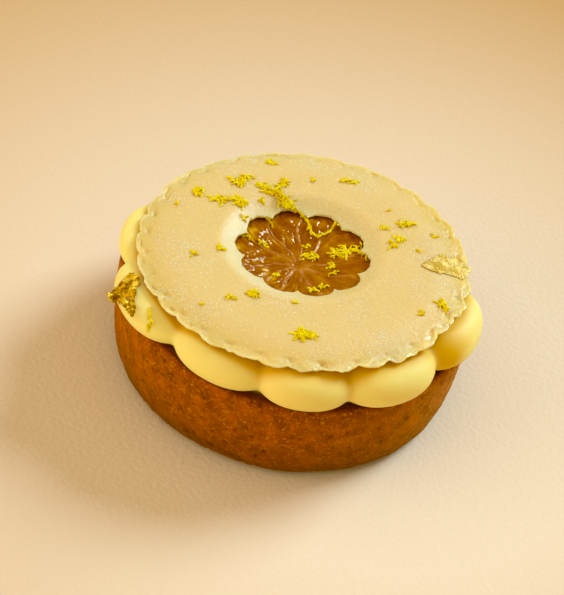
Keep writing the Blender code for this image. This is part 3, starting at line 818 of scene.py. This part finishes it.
# %% One bulb of cream
def bulb_rows(angle, half_width, reach, rise):
    """Rings of a bulb from its underside to its top, as a cushion bent round the tart's axis."""
    bearings = np.linspace(0, 2 * math.pi, 48, endpoint=False)
    middle = (reach + BULB_INNER_RADIUS) / 2
    half_length = (reach - BULB_INNER_RADIUS) / 2
    rows = []
    for latitude in np.radians(np.linspace(-87, 87, 25)):
        flatness = BULB_ROUNDING_ABOVE if latitude > 0 else BULB_ROUNDING_BELOW
        level = math.cos(latitude)
        full = (1 - flatness * (1 - level)) * ease(-0.2, 0.3, level)
        along = np.sign(np.cos(bearings)) * np.abs(np.cos(bearings)) ** 0.9
        across = np.sign(np.sin(bearings)) * np.abs(np.sin(bearings)) ** 0.9
        radius = middle + half_length * full * along
        turn = np.radians(angle + half_width * BULB_OVERLAP * full * across)
        depth = rise if latitude > 0 else BULB_MIDDLE_LEVEL - CASE_HEIGHT - 0.5
        height = np.full(len(bearings), BULB_MIDDLE_LEVEL + depth * math.sin(latitude))
        rows.append(np.column_stack([radius * np.cos(turn), radius * np.sin(turn), height]))
    return rows


def bulb_rise(angle, half_width, reach):
    """How far a bulb can rise before it touches the disc above it."""
    highest = []
    for row in bulb_rows(angle, half_width, reach, 1.0)[13:]:
        x, y, z = row.T
        share = z[0] - BULB_MIDDLE_LEVEL
        under = np.hypot(x, y) < DISC_RADIUS + 1.0
        room = disc_top(x, y) - disc_thickness(x, y) - REST_GAP - BULB_MIDDLE_LEVEL
        if under.any() and share > 0.3:
            highest.append(room[under].min() / share)
    return min(highest)


# %% [markdown]
# ## Finish: lemon cream
# Whipped cream with lemon curd is satin, neither matt nor wet, and light goes deep into it. What comes
# back out of a gap has passed through more cream and is a deeper yellow. The renderer does part of that
# by subsurface scattering; the rest is painted shade, a stored share that mixes in a richer, darker yellow.

# %% Finish: lemon cream
whipped_cream, tree, shader = new_finish(
    "whipped lemon cream",
    {
        "Roughness": 0.55,
        "Specular IOR Level": 0.3,
        "Subsurface Weight": 0.85,
        "Subsurface Radius": (1.0, 0.75, 0.25),
        "Subsurface Scale": 0.0036,
    },
)
place = add_node(tree, "ShaderNodeTexCoord").outputs["Object"]
cloud = add_node(tree, "ShaderNodeTexNoise", {"Vector": place, "Scale": 70.0, "Detail": 2.0})
yellow = add_node(
    tree,
    "ShaderNodeMix",
    {"Factor": cloud, "A": linear("#fbe080"), "B": linear("#fde58e")},
    data_type="RGBA",
)
amount = add_node(tree, "ShaderNodeAttribute", attribute_name="deep").outputs["Fac"]
cream_in_painted_shade = add_node(
    tree, "ShaderNodeMix", {"Factor": amount, "A": yellow, "B": linear("#e0ae00")}, data_type="RGBA"
)
smear = add_node(tree, "ShaderNodeTexNoise", {"Vector": place, "Scale": 260.0, "Detail": 2.0})
bump = add_node(tree, "ShaderNodeBump", {"Height": smear, "Strength": 0.12, "Distance": 0.0005})
fill(shader, {"Base Color": cream_in_painted_shade, "Normal": bump})

# %% Cream as one skin
WELL_RADIUS = 21.6
WELL_LEVEL = 20.6
BED_LEVEL = 23.0
BED_BASE = 18.4
BED_STEPS = 160
NECK_RADIUS = CASE_RADIUS - RIM_WIDTH - 0.45
bed_outline = [(0.3, WELL_LEVEL), (WELL_RADIUS - 0.5, WELL_LEVEL), (WELL_RADIUS + 0.6, BED_LEVEL)]
bed_outline += [(NECK_RADIUS + 0.9, BED_LEVEL), (NECK_RADIUS + 1.4, 22.3), (NECK_RADIUS + 0.4, 21.5)]
bed_outline += [(NECK_RADIUS, 20.8), (NECK_RADIUS, BED_BASE), (0.3, BED_BASE)]
joined = bmesh.new()
joined.from_mesh(grid_mesh("bed", turned_rows(bed_outline, BED_STEPS), cap=True))
for number, bulb in enumerate(BULBS):
    joined.from_mesh(grid_mesh(f"bulb {number}", bulb_rows(*bulb, bulb_rise(*bulb)), cap=True))
cream_mesh = bpy.data.meshes.new("cream")
joined.to_mesh(cream_mesh)
joined.free()
cream = new_piece("cream", cream_mesh, whipped_cream)
skin = cream.modifiers.new("one skin", "REMESH")
skin.mode = "VOXEL"
skin.voxel_size = CREAM_VOXEL * MM
skin.use_smooth_shade = True
soft = cream.modifiers.new("soft clefts", "SMOOTH")
soft.factor = 0.5
soft.iterations = 24
settle(cream)
cream.data.materials.clear()
cream.data.materials.append(whipped_cream)

# %% Where the cream gets painted shade
# Painted shade goes under the disc, in the gap between the two bulbs at the right, and low on the right
# bulbs
spots = np.array([vertex.co for vertex in cream.data.vertices]) / MM
reach = np.hypot(spots[:, 0], spots[:, 1])
bearing = np.degrees(np.arctan2(spots[:, 1], spots[:, 0]))
rightwards = ease(-25.0, 12.0, spots[:, 0])
sheltered = 0.9 * (1 - ease(DISC_RADIUS - 0.6, DISC_RADIUS + 0.8 + 2.2 * rightwards, reach))
hollow = np.exp(-(((bearing + 27.5) / 8.0) ** 2)) * (1 - ease(38.2, 40.2, reach))
foot = 0.25 * (1 - ease(22.5, 29.0, spots[:, 2])) * rightwards
mark(cream.data, deep=np.maximum(np.maximum(sheltered, 0.95 * hollow), foot))
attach(cream, "root")
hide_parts("piped_cream")
on_cream = surface_of(cream)

# %% [markdown]
# ## The confit
# Through the window shows a slice of lemon cooked in syrup: a wheel of segments with pale membranes
# between them, all under a wet gloss. The pulp's little sacs all point at the middle, so the noise that
# makes them is stretched along the radius. The membranes stand at uneven angles, as in a real lemon.

# %% Confit sizes
LEMON_STAR = np.array((-0.7, 1.05))
LEMON_RADIUS = 20.6
LEMON_LEVEL = 24.9
LEMON_BASE = 20.95
MEMBRANE_ANGLES = (21, 69, 98, 129, 156, 196, 224, 249, 298, 347)
MEMBRANE_SWAY = 5.0
# The side where painted light makes the streaks stronger
STREAK_LIGHT_SIDE = math.radians(205)
LEMON_STEPS = 560
LEMON_RINGS = 76


def across_segment(turns, reach):
    """How far each place is across its segment, from 0 at one membrane to 1 at the next, and which it is."""
    marks = np.array([MEMBRANE_ANGLES[-1] - 360, *MEMBRANE_ANGLES, MEMBRANE_ANGLES[0] + 360])
    degrees = (np.degrees(turns) + MEMBRANE_SWAY * np.sin(reach * 0.45)) % 360
    number = np.searchsorted(marks, degrees, side="right") - 1
    return (degrees - marks[number]) / (marks[number + 1] - marks[number]), number


# %% Confit surface
def confit_rows():
    """Rings of the confit from its middle to its rim, down its side and in underneath."""
    turns = np.linspace(0, 2 * math.pi, LEMON_STEPS, endpoint=False)
    directions = np.column_stack([np.cos(turns), np.sin(turns)])
    rows = []
    for share in np.linspace(0.012, 0.985, LEMON_RINGS):
        reach = LEMON_RADIUS * share
        flat = LEMON_STAR * (1 - share) + reach * directions
        share_across, number = across_segment(turns, reach)
        from_membrane = np.minimum(share_across, 1 - share_across) * reach
        spread = float(ease(0.5, 5.0, reach)) * (1 - float(ease(16.0, 18.0, reach)))
        ridge = 0.38 * np.exp(-((from_membrane / 0.42) ** 2))
        dome = 0.3 * np.sin(np.pi * share_across) ** 0.6
        sacs = rough([(11.0 * turn, reach * 0.33, 3.0 * part) for turn, part in zip(turns, number)], 1.0)
        lumps = rough([(x, y, 0.0) for x, y in flat], 1.7, 4.0)
        fine = rough([(x, y, 0.0) for x, y in flat], 0.7, 7.0)
        level = LEMON_LEVEL - 0.4 + flat @ DISC_SLOPE + 1.6 * float(ease(6.0, 14.0, reach))
        height = level + spread * (ridge + dome + 0.12 * sacs + 0.3 * lumps) + 0.08 * fine
        rows.append(np.column_stack([flat, height]))
    for share, height in ((1.0, LEMON_LEVEL - 0.9), (1.0, 21.7), (0.97, LEMON_BASE), (0.02, LEMON_BASE)):
        rows.append(np.column_stack([share * LEMON_RADIUS * directions, np.full(LEMON_STEPS, height)]))
    return rows


# %% Finish: lemon confit
# Three browns follow the pulp: burnt sugar, amber and the clear yellow of a ripe sac
confit_finish, tree, shader = new_finish(
    "candied lemon in syrup",
    {
        "Roughness": 0.07,
        "IOR": 1.45,
        "Specular Tint": linear("#ffe6b0"),
        "Subsurface Weight": 0.35,
        "Subsurface Radius": (1.0, 0.5, 0.05),
        "Subsurface Scale": 0.0015,
    },
)
streaks = add_node(tree, "ShaderNodeAttribute", attribute_name="streak").outputs["Fac"]
pith = add_node(tree, "ShaderNodeAttribute", attribute_name="membrane").outputs["Fac"]
amber = add_node(tree, "ShaderNodeValToRGB", {0: streaks})
amber.color_ramp.elements[0].position = 0.3
amber.color_ramp.elements[0].color = linear("#985009")
amber.color_ramp.elements[1].position = 0.95
amber.color_ramp.elements[1].color = linear("#ecbc3a")
amber.color_ramp.elements.new(0.6).color = linear("#b3720f")
pulp = add_node(
    tree, "ShaderNodeMix", {"Factor": pith, "A": amber, "B": linear("#cb8c56")}, data_type="RGBA"
)
# The syrup's skin ripples over a little more than 1 mm, which breaks up its highlights
place = add_node(tree, "ShaderNodeTexCoord").outputs["Object"]
wet = add_node(tree, "ShaderNodeTexNoise", {"Vector": place, "Scale": 800.0, "Detail": 1.0})
bump = add_node(tree, "ShaderNodeBump", {"Height": wet, "Strength": 0.7, "Distance": 0.0005})
fill(shader, {"Base Color": pulp, "Normal": bump})

# %% Confit mesh and where its colours lie
lemon_mesh = grid_mesh("confit", confit_rows(), cap=True)
flat = np.array([vertex.co[:2] for vertex in lemon_mesh.vertices]) / MM
flat -= LEMON_STAR * (1 - np.minimum(1, np.hypot(flat[:, 0], flat[:, 1]) / LEMON_RADIUS))[:, None]
reach = np.hypot(flat[:, 0], flat[:, 1])
turns = np.arctan2(flat[:, 1], flat[:, 0])
share_across, number = across_segment(turns, reach)
from_membrane = np.minimum(share_across, 1 - share_across) * reach
patchy = 0.5 + 0.5 * rough([(x, y, 0.0) for x, y in flat], 2.5, 9.0)
pale = np.exp(-((from_membrane / 0.6) ** 2)) * ease(0.5, 2.0, reach) * (1 - ease(14.0, 17.0, reach))
sacs = rough([(11.0 * t, r * 0.33, 3.0 * part) for t, r, part in zip(turns, reach, number)], 1.0)
threads = rough([(26.0 * t, r * 0.5, 5.0 * part) for t, r, part in zip(turns, reach, number)], 1.0, 2.0)
# Painted light: the streaks are stronger towards the near left, which the light reaches, while the disc's
# far edge shades the far right; the streak pattern itself is the pulp's own
streak_light = 0.3 + 0.7 * np.clip(np.cos(turns - STREAK_LIGHT_SIDE) + 0.4, 0, 1)
streak_light *= 0.25 + 0.75 * ease(1.5, 7.0, reach)
patches = rough([(x, y, 0.0) for x, y in flat], 3.2, 21.0)
streak = np.clip(0.40 + (0.5 * sacs + 0.2 * threads) * streak_light + 0.3 * patches, 0, 1)
mark(lemon_mesh, membrane=pale * patchy, streak=streak)
lemon = new_piece("confit", lemon_mesh, confit_finish)
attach(lemon, "root")
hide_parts("lemon_confit")
on_lemon = surface_of(lemon)
print("confit:", len(lemon_mesh.polygons), "faces")

# %% [markdown]
# ## Zest
# A fine grater takes zest off in thin ribbons, up to 0.8 mm wide, that curl and tangle. Every ribbon
# here is first a line of points: it turns as it runs and arches off what it lies on. A Geometry Nodes
# tree then sweeps a flat ribbon along all the lines and roughens it. The finish is matt, with a mottle
# of about 2 mm from greener to paler yellow.

# %% Finish: lemon zest
zest_finish, tree, shader = new_finish(
    "fresh citrus zest", {"Roughness": 0.6, "Specular IOR Level": 0.15}
)
place = add_node(tree, "ShaderNodeTexCoord").outputs["Object"]
cloud = add_node(tree, "ShaderNodeTexNoise", {"Vector": place, "Scale": 500.0, "Detail": 3.0})
skin = add_node(tree, "ShaderNodeValToRGB", {0: cloud})
skin.color_ramp.elements[0].position = 0.35
skin.color_ramp.elements[0].color = linear("#f0d206")
skin.color_ramp.elements[1].position = 0.65
skin.color_ramp.elements[1].color = linear("#f8e438")
bump = add_node(tree, "ShaderNodeBump", {"Height": cloud, "Strength": 0.2, "Distance": 0.0002})
fill(shader, {"Base Color": skin, "Normal": bump})

# %% Geometry Nodes: ribbons along lines
ribbons, given = new_tree("zest ribbons", "Width", "Thickness", "Ragged", "Material")
lines = add_node(ribbons, "GeometryNodeMeshToCurve", {0: given["Geometry"]})
wide = add_node(ribbons, "GeometryNodeInputNamedAttribute", {"Name": "wide"}, data_type="FLOAT")
twist = add_node(ribbons, "GeometryNodeInputNamedAttribute", {"Name": "twist"}, data_type="FLOAT")
sized = add_node(ribbons, "GeometryNodeSetCurveRadius", {"Curve": lines, "Radius": wide})
twisted = add_node(ribbons, "GeometryNodeSetCurveTilt", {"Curve": sized, "Tilt": twist})
section = add_node(
    ribbons,
    "GeometryNodeCurvePrimitiveQuadrilateral",
    {"Width": given["Width"], "Height": given["Thickness"]},
)
swept = add_node(
    ribbons,
    "GeometryNodeCurveToMesh",
    {"Curve": twisted, "Profile Curve": section, "Fill Caps": True},
)
spot = add_node(ribbons, "GeometryNodeInputPosition")
jitter = add_node(ribbons, "ShaderNodeTexNoise", {"Vector": spot, "Scale": 1500.0, "Detail": 1.0})
centred = add_node(
    ribbons, "ShaderNodeVectorMath", {0: jitter.outputs["Color"], 1: (0.5, 0.5, 0.5)}, operation="SUBTRACT"
)
push = add_node(ribbons, "ShaderNodeVectorMath", {0: centred, "Scale": given["Ragged"]}, operation="SCALE")
moved = add_node(ribbons, "GeometryNodeSetPosition", {"Geometry": swept, "Offset": push})
smooth = add_node(ribbons, "GeometryNodeSetShadeSmooth", {"Geometry": moved})
close_tree(ribbons, smooth, given["Material"])


# %% Lines for the zest
SHRED_STEP = 0.22
STRAND_STEP = 0.25
SHRED_STRETCH = 1.2
RIBBON_WIDTH = 0.42
RIBBON_THICKNESS = 0.1
RIBBON_RAGGED = 0.3


def shred_line(surface, x, y, heading, length, draw):
    """Points of one shred that starts at x, y: it bends as it likes and rises a little off the surface."""
    count = max(5, round(length / SHRED_STEP))
    bearing = math.radians(heading)
    bend = draw.uniform(-1.6, 1.6) / count
    step = length / count
    arch = draw.uniform(0.02, 0.25)
    points = []
    for i in range(count + 1):
        ground = surface(x, y)
        if ground is None:
            break
        points.append((x, y, ground + 0.12 + arch * math.sin(math.pi * i / count)))
        bearing += bend + draw.gauss(0, 0.22)
        x += step * math.cos(bearing)
        y += step * math.sin(bearing)
    return points


def clump(surface, x, y, spread, count, length, seed):
    """Shreds strewn in a small heap round x, y."""
    draw = random.Random(seed)
    lines = []
    for _ in range(count):
        away = spread * draw.random() ** 0.8
        around = draw.uniform(0, 2 * math.pi)
        start = (x + away * math.cos(around), y + away * math.sin(around))
        heading = draw.uniform(0, 360)
        lines.append(shred_line(surface, *start, heading, length * draw.uniform(0.4, 1.1), draw))
    return lines


def strand(points, seed):
    """A long shred through given points in mm, with short barbs where the grater tore it."""
    draw = random.Random(seed)
    points = [Vector(point) for point in points]
    lines = [[]]
    for start, end in zip(points, points[1:]):
        pieces = max(2, round((end - start).length / STRAND_STEP))
        for i in range(pieces):
            shake = Vector((draw.gauss(0, 0.07), draw.gauss(0, 0.07), draw.gauss(0, 0.05)))
            lines[0].append(tuple(start.lerp(end, i / pieces) + shake))
            if draw.random() < 0.22:
                aim = Vector((draw.gauss(0, 1), draw.gauss(0, 1), draw.gauss(0, 0.5))).normalized()
                root = Vector(lines[0][-1])
                reach = draw.uniform(0.35, 0.9)
                lines.append([tuple(root + aim * reach * share) for share in (0, 0.25, 0.5, 0.75, 1)])
    return lines


def zest_piece(name, lines, seed):
    """One mesh of ribbons, swept along all the lines."""
    draw = random.Random(seed)
    corners, edges, widths, twists = [], [], [], []
    for line in lines:
        if len(line) < 4:
            continue
        first = len(corners)
        size = draw.uniform(0.6, 1.1)
        twist = draw.uniform(0, 6)
        for i, point in enumerate(line):
            share = i / (len(line) - 1)
            corners.append([c * MM for c in point])
            taper = 0.15 + 0.85 * math.sin(math.pi * min(1.0, 0.1 + 0.9 * share)) ** 0.6
            widths.append(size * taper * draw.uniform(0.5, 1.4))
            twist += draw.gauss(0, 0.35)
            twists.append(twist)
        edges += [(i, i + 1) for i in range(first, len(corners) - 1)]
    mesh = bpy.data.meshes.new(name)
    mesh.from_pydata(corners, edges, [])
    mark(mesh, wide=widths, twist=twists)
    piece = new_piece(name, mesh)
    run_tree(
        piece,
        ribbons,
        Width=RIBBON_WIDTH * MM,
        Thickness=RIBBON_THICKNESS * MM,
        Ragged=RIBBON_RAGGED * MM,
        Material=zest_finish,
    )
    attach(piece, "root")


def heaps_on(surface, heaps, fullness, seed):
    """The shreds of all the heaps on a surface, with fullness times the number of shreds given."""
    lines = []
    for number, (x, y, spread, count, length) in enumerate(heaps):
        count = round(fullness * count)
        lines += clump(surface, x, y, spread, count, SHRED_STRETCH * length, seed=seed + number)
    return lines


# %% Zest on the disc
# Each heap: x, y, spread, all in mm, number of shreds and their usual length in mm
DISC_HEAPS = (
    (-11.5, 28.6, 0.7, 7, 1.5),
    (-25.1, 12.5, 0.8, 8, 1.4),
    (-24.2, 13.6, 0.5, 4, 1.6),
    (-16.6, 18.4, 1.0, 16, 1.5),
    (-18.7, 19.1, 0.4, 4, 1.2),
    (-15.5, 20.8, 0.6, 6, 1.4),
    (-21.2, 11.3, 0.7, 7, 1.5),
    (-19.3, 11.6, 0.8, 8, 1.4),
    (-17.6, 12.4, 0.6, 6, 1.2),
    (-16.1, 12.8, 1.2, 22, 1.6),
    (-15.6, 11.2, 0.5, 5, 1.2),
    (-12.2, 18.8, 0.5, 5, 1.5),
    (-11.0, 18.0, 0.7, 7, 1.4),
    (-9.4, 17.6, 0.8, 9, 1.6),
    (-7.7, 21.3, 0.7, 8, 1.5),
    (-8.4, 19.6, 0.5, 5, 1.4),
    (-6.6, 15.9, 1.0, 14, 1.6),
    (-5.3, 15.4, 0.8, 10, 1.6),
    (-28.3, 8.1, 0.3, 2, 0.8),
    (-22.1, -7.4, 0.5, 6, 1.0),
    (-16.8, -4.2, 0.7, 7, 1.1),
    (-12.5, -18.5, 0.3, 4, 1.2),
    (-8.2, -16.3, 1.0, 14, 1.3),
    (2.8, -25.9, 1.3, 26, 1.6),
    (4.3, -25.2, 0.7, 8, 1.6),
    (-0.2, -16.4, 0.3, 3, 0.9),
    (18.7, 14.7, 0.5, 5, 1.6),
    (20.2, 15.2, 0.5, 6, 1.4),
    (14.9, 12.5, 0.4, 5, 1.2),
    (18.6, 9.9, 0.7, 8, 1.3),
    (17.5, 7.6, 0.6, 5, 1.5),
    (25.9, 13.2, 0.4, 3, 1.1),
    (23.1, 7.6, 0.3, 2, 1.0),
    (29.4, -7.7, 0.5, 8, 1.8),
    (25.7, -11.9, 0.5, 4, 1.0),
    (4.9, 26.2, 0.4, 5, 1.1),
    (7.1, 26.5, 0.3, 4, 1.5),
    (-1.8, 24.1, 0.4, 3, 1.0),
    (-17.7, -22.2, 0.2, 2, 0.8),
    (-11.7, 14.6, 0.4, 4, 1.1),
    (-14.1, 8.4, 0.3, 3, 1.0),
    (15.5, 18.6, 0.2, 2, 0.8),
)
lines = heaps_on(on_disc, DISC_HEAPS, 1.7, seed=1)
# A long shred that runs over the window's far edge and loops down onto the confit and back
LOOP = ((-9.1, 17.8, 29.0), (-7.3, 16.8, 28.9), (-5.8, 15.6, 28.7), (-4.6, 14.7, 28.0), (-3.4, 15.2, 26.7))
LOOP += ((-1.4, 14.3, 25.9), (-0.4, 12.5, 25.9), (0.4, 10.3, 25.8), (1.9, 9.6, 25.8), (3.3, 11.0, 25.8))
LOOP += ((4.3, 12.2, 26.0), (4.7, 13.4, 26.5), (5.0, 13.8, 27.4))
for number in range(3):
    lines += strand(LOOP, seed=40 + number)
zest_piece("zest_on_disc", lines, seed=3)

# %% Zest on the confit and the cream
CONFIT_HEAPS = (
    (0.5, 3.6, 0.5, 5, 1.2),
    (2.5, 4.6, 0.7, 7, 1.4),
    (6.3, 6.2, 0.9, 11, 1.6),
    (8.4, 6.6, 1.1, 16, 1.7),
    (10.7, 7.4, 0.9, 11, 1.6),
    (12.9, 6.6, 0.7, 6, 1.5),
    (5.9, 1.9, 0.5, 4, 1.5),
    (6.4, 0.1, 0.4, 3, 1.3),
    (-0.3, 4.6, 0.4, 3, 1.0),
    (-0.2, 6.9, 0.4, 3, 1.0),
    (5.1, -4.9, 0.5, 5, 1.1),
    (3.3, -6.8, 0.5, 5, 1.1),
    (-5.0, -3.7, 0.4, 4, 1.1),
    (-8.9, 4.5, 0.6, 5, 1.2),
    (-12.2, 5.0, 0.4, 4, 1.2),
)
WINDOW_SHRED = ((-9.6, 12.0), (-8.6, 11.0), (-7.6, 9.4))
lines = heaps_on(on_lemon, CONFIT_HEAPS, 1.6, seed=60)
lines += strand([(x, y, on_lemon(x, y) + 0.3) for x, y in WINDOW_SHRED], seed=80)
zest_piece("zest_on_confit", lines, seed=5)

lines = clump(on_cream, -27.0, -28.2, 0.6, 9, 1.3, seed=90)
CREAM_SHRED = ((-27.8, -23.6), (-27.3, -25.2), (-26.8, -26.6), (-26.7, -27.8))
for number in range(2):
    lines += strand([(x, y, on_cream(x, y) + 0.25) for x, y in CREAM_SHRED], seed=91 + number)
zest_piece("zest_on_cream", lines, seed=7)

# %% [markdown]
# ## Gold leaf
# Edible gold is beaten so thin that it takes every crease. One scrap lies flat on the disc and passes
# over its edge, the other is crumpled on the shoulder of the left bulb of cream. Both are fine grids,
# cut to a torn outline and creased by noise, with a Solidify modifier for their thickness. The metal is
# mottled over 1 to 2 mm, and creases of about 0.4 mm in the bump scatter its highlights.


# %% Finish: gold leaf
def gold_leaf(name, pale, dark, roughness, mottling):
    """Metal leaf in two tones of gold; the flatter sheet is the rougher one."""
    made, tree, shader = new_finish(name, {"Metallic": 1.0, "Roughness": roughness})
    place = add_node(tree, "ShaderNodeTexCoord").outputs["Object"]
    cloud = add_node(tree, "ShaderNodeTexNoise", {"Vector": place, "Scale": 700.0, "Detail": 4.0})
    spread = add_node(
        tree,
        "ShaderNodeMapRange",
        {"Value": cloud, "From Min": 0.5 - mottling, "From Max": 0.5 + mottling},
    )
    tone = add_node(
        tree,
        "ShaderNodeMix",
        {"Factor": spread, "A": linear(dark), "B": linear(pale)},
        data_type="RGBA",
    )
    creases = add_node(
        tree, "ShaderNodeTexNoise", {"Vector": place, "Scale": 2400.0, "Detail": 3.0, "Roughness": 0.7}
    )
    bump = add_node(tree, "ShaderNodeBump", {"Height": creases, "Strength": 1.0, "Distance": 0.0004})
    fill(shader, {"Base Color": tone, "Normal": bump})
    return made


# %% Torn sheets
LEAF_CELL = 0.13
LEAF_THICKNESS = 0.07
LEAF_TEAR = 0.25
LEAF_TEAR_SIZE = 0.7
# The vector noise that tears the sheets takes its offsets from the clock unless it is given a seed
noise.seed_set(1)


def inside(outline, points):
    """Which points lie inside a closed outline: a ray to the right crosses it an odd number of times."""
    crossed = np.zeros(len(points), int)
    for (x0, y0), (x1, y1) in zip(outline, outline[1:] + outline[:1]):
        beside = (points[:, 1] > min(y0, y1)) & (points[:, 1] <= max(y0, y1))
        meeting = x0 + (points[:, 1] - y0) / (y1 - y0) * (x1 - x0)
        crossed += beside & (meeting > points[:, 0])
    return crossed % 2 == 1


def leaf_piece(name, outline, level, finish):
    """A thin sheet inside an outline in mm, torn unevenly at its edge; level(x, y) gives its height."""
    low = np.min(outline, axis=0) - LEAF_TEAR
    across, along = np.ceil((np.max(outline, axis=0) + LEAF_TEAR - low) / LEAF_CELL).astype(int)
    places = [(low[0] + LEAF_CELL * i, low[1] + LEAF_CELL * j) for j in range(along) for i in range(across)]
    tears = [LEAF_TEAR * noise.noise_vector(Vector((*place, 0.0)) / LEAF_TEAR_SIZE).xy for place in places]
    kept = inside(list(outline), np.array([Vector(place) + tear for place, tear in zip(places, tears)]))
    faces = []
    for corner in range(across * (along - 1)):
        square = [corner, corner + 1, corner + across + 1, corner + across]
        if corner % across < across - 1 and kept[square].all():
            faces.append(square)
    mesh = bpy.data.meshes.new(name)
    mesh.from_pydata([Vector((x, y, level(x, y))) * MM for x, y in places], [], faces)
    trim = bmesh.new()
    trim.from_mesh(mesh)
    bmesh.ops.delete(trim, geom=[vertex for vertex in trim.verts if not vertex.link_faces], context="VERTS")
    trim.to_mesh(mesh)
    trim.free()
    mesh.shade_smooth()
    piece = new_piece(name, mesh, finish)
    wall = piece.modifiers.new("thickness", "SOLIDIFY")
    wall.thickness = LEAF_THICKNESS * MM
    wall.offset = 1.0
    settle(piece)
    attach(piece, "root")
    return piece


def crumple(x, y, layers):
    """Creases of a sheet at a place: the sum of layers of noise, each given as height and size in mm."""
    return sum(height * noise.noise(Vector((x, y, 9.0 * size)) / size) for height, size in layers)


# %% The leaf on the disc
TOP_LEAF = ((23.9, 2.7), (25.5, 5.2), (27.0, 7.2), (28.2, 8.5), (29.6, 7.4), (30.6, 8.9), (33.0, 7.4))
TOP_LEAF += ((34.4, 5.1), (33.4, 2.6), (31.5, 2.0), (29.5, 2.0), (28.0, 1.4), (25.8, 1.7))


def top_leaf(x, y):
    """Height of the leaf on the disc: it lies on the top and hangs a little where it passes the edge."""
    spot = Vector((x, y))
    held = spot * min(1.0, (DISC_RADIUS - 1.6) / spot.length)
    hang = 0.12 * (spot - held).length
    return on_disc(held.x, held.y) + 0.12 + crumple(x, y, ((0.04, 2.2), (0.015, 0.4))) - hang


bright_gold = gold_leaf("edible gold leaf", "#fbe08c", "#d6ac48", roughness=0.45, mottling=0.12)
leaf_on_disc = leaf_piece("leaf_on_disc", TOP_LEAF, top_leaf, bright_gold)
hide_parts("gold_leaf_top")

# %% The leaf on the cream
SIDE_LEAF = ((-37.0, -21.0), (-35.5, -18.6), (-34.8, -17.6), (-34.4, -15.9), (-33.2, -15.2), (-31.6, -16.0))
SIDE_LEAF += ((-30.8, -18.0), (-31.4, -19.0), (-31.0, -20.6), (-31.1, -22.7), (-30.0, -25.4), (-30.6, -27.2))
SIDE_LEAF += ((-32.2, -26.2), (-33.6, -23.6), (-34.6, -22.9), (-36.2, -23.0))


def side_leaf(x, y):
    """Height of the leaf on the cream, crumpled, and held up where it stands out beyond the bulb."""
    ground = on_cream(x, y) or 0.0
    shelf = 25.3 + 0.25 * (x + 34.0)
    return max(ground, shelf) + 0.5 + crumple(x, y, ((1.2, 1.9), (0.5, 0.8), (0.25, 0.4)))


old_gold = gold_leaf("crumpled gold leaf", "#fbd04c", "#925e08", roughness=0.32, mottling=0.10)
leaf_on_cream = leaf_piece("leaf_on_cream", SIDE_LEAF, side_leaf, old_gold)
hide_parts("gold_leaf_side")

# %% [markdown]
# ## Frost on the disc
# A disc that comes from the freezer draws tiny beads of frost, 0.1 to 0.3 mm across. They are far too
# many to place by hand, so a Geometry Nodes tree strews them over the disc's top, thicker where a slow
# noise is high. The beads are ice: pale, smooth and a little clear.

# %% Finish: frost
frost = new_finish(
    "frost beads",
    {
        "Base Color": linear("#fff0d2"),
        "Roughness": 0.35,
        "Subsurface Weight": 0.4,
        "Subsurface Scale": 0.0003,
    },
)[0]

# %% Geometry Nodes: strew beads
strew, given = new_tree("strew beads", "Density", "Smallest", "Largest", "Seed", "Material")
spot = add_node(strew, "GeometryNodeInputPosition")
facing = add_node(strew, "ShaderNodeSeparateXYZ", {0: add_node(strew, "GeometryNodeInputNormal")})
upwards = add_node(
    strew, "ShaderNodeMapRange", {"Value": facing.outputs["Z"], "From Min": 0.8, "From Max": 0.95}
)
slow = add_node(strew, "ShaderNodeTexNoise", {"Vector": spot, "Scale": 75.0, "Detail": 2.0})
patch = add_node(strew, "ShaderNodeMapRange", {"Value": slow, "From Min": 0.48, "From Max": 0.64})
share = add_node(strew, "ShaderNodeMath", {0: upwards, 1: patch}, operation="MULTIPLY")
thick = add_node(strew, "ShaderNodeMath", {0: share, 1: given["Density"]}, operation="MULTIPLY")
seeds = add_node(
    strew,
    "GeometryNodeDistributePointsOnFaces",
    {"Mesh": given["Geometry"], "Density": thick, "Seed": given["Seed"]},
)
bead = add_node(strew, "GeometryNodeMeshIcoSphere", {"Radius": 1.0, "Subdivisions": 1})
size = add_node(
    strew,
    "FunctionNodeRandomValue",
    {2: given["Smallest"], 3: given["Largest"], "Seed": given["Seed"]},
    data_type="FLOAT",
)
flat_bead = add_node(strew, "ShaderNodeVectorMath", {0: (1.0, 1.0, 0.5), "Scale": size}, operation="SCALE")
beads = add_node(
    strew, "GeometryNodeInstanceOnPoints", {"Points": seeds, "Instance": bead, "Scale": flat_bead}
)
close_tree(strew, beads, given["Material"])

frost_piece = new_piece("frost", disc.data.copy())
run_tree(
    frost_piece, strew, Density=4.0e6, Smallest=0.04 * MM, Largest=0.13 * MM, Seed=4, Material=frost
)
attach(frost_piece, "root")
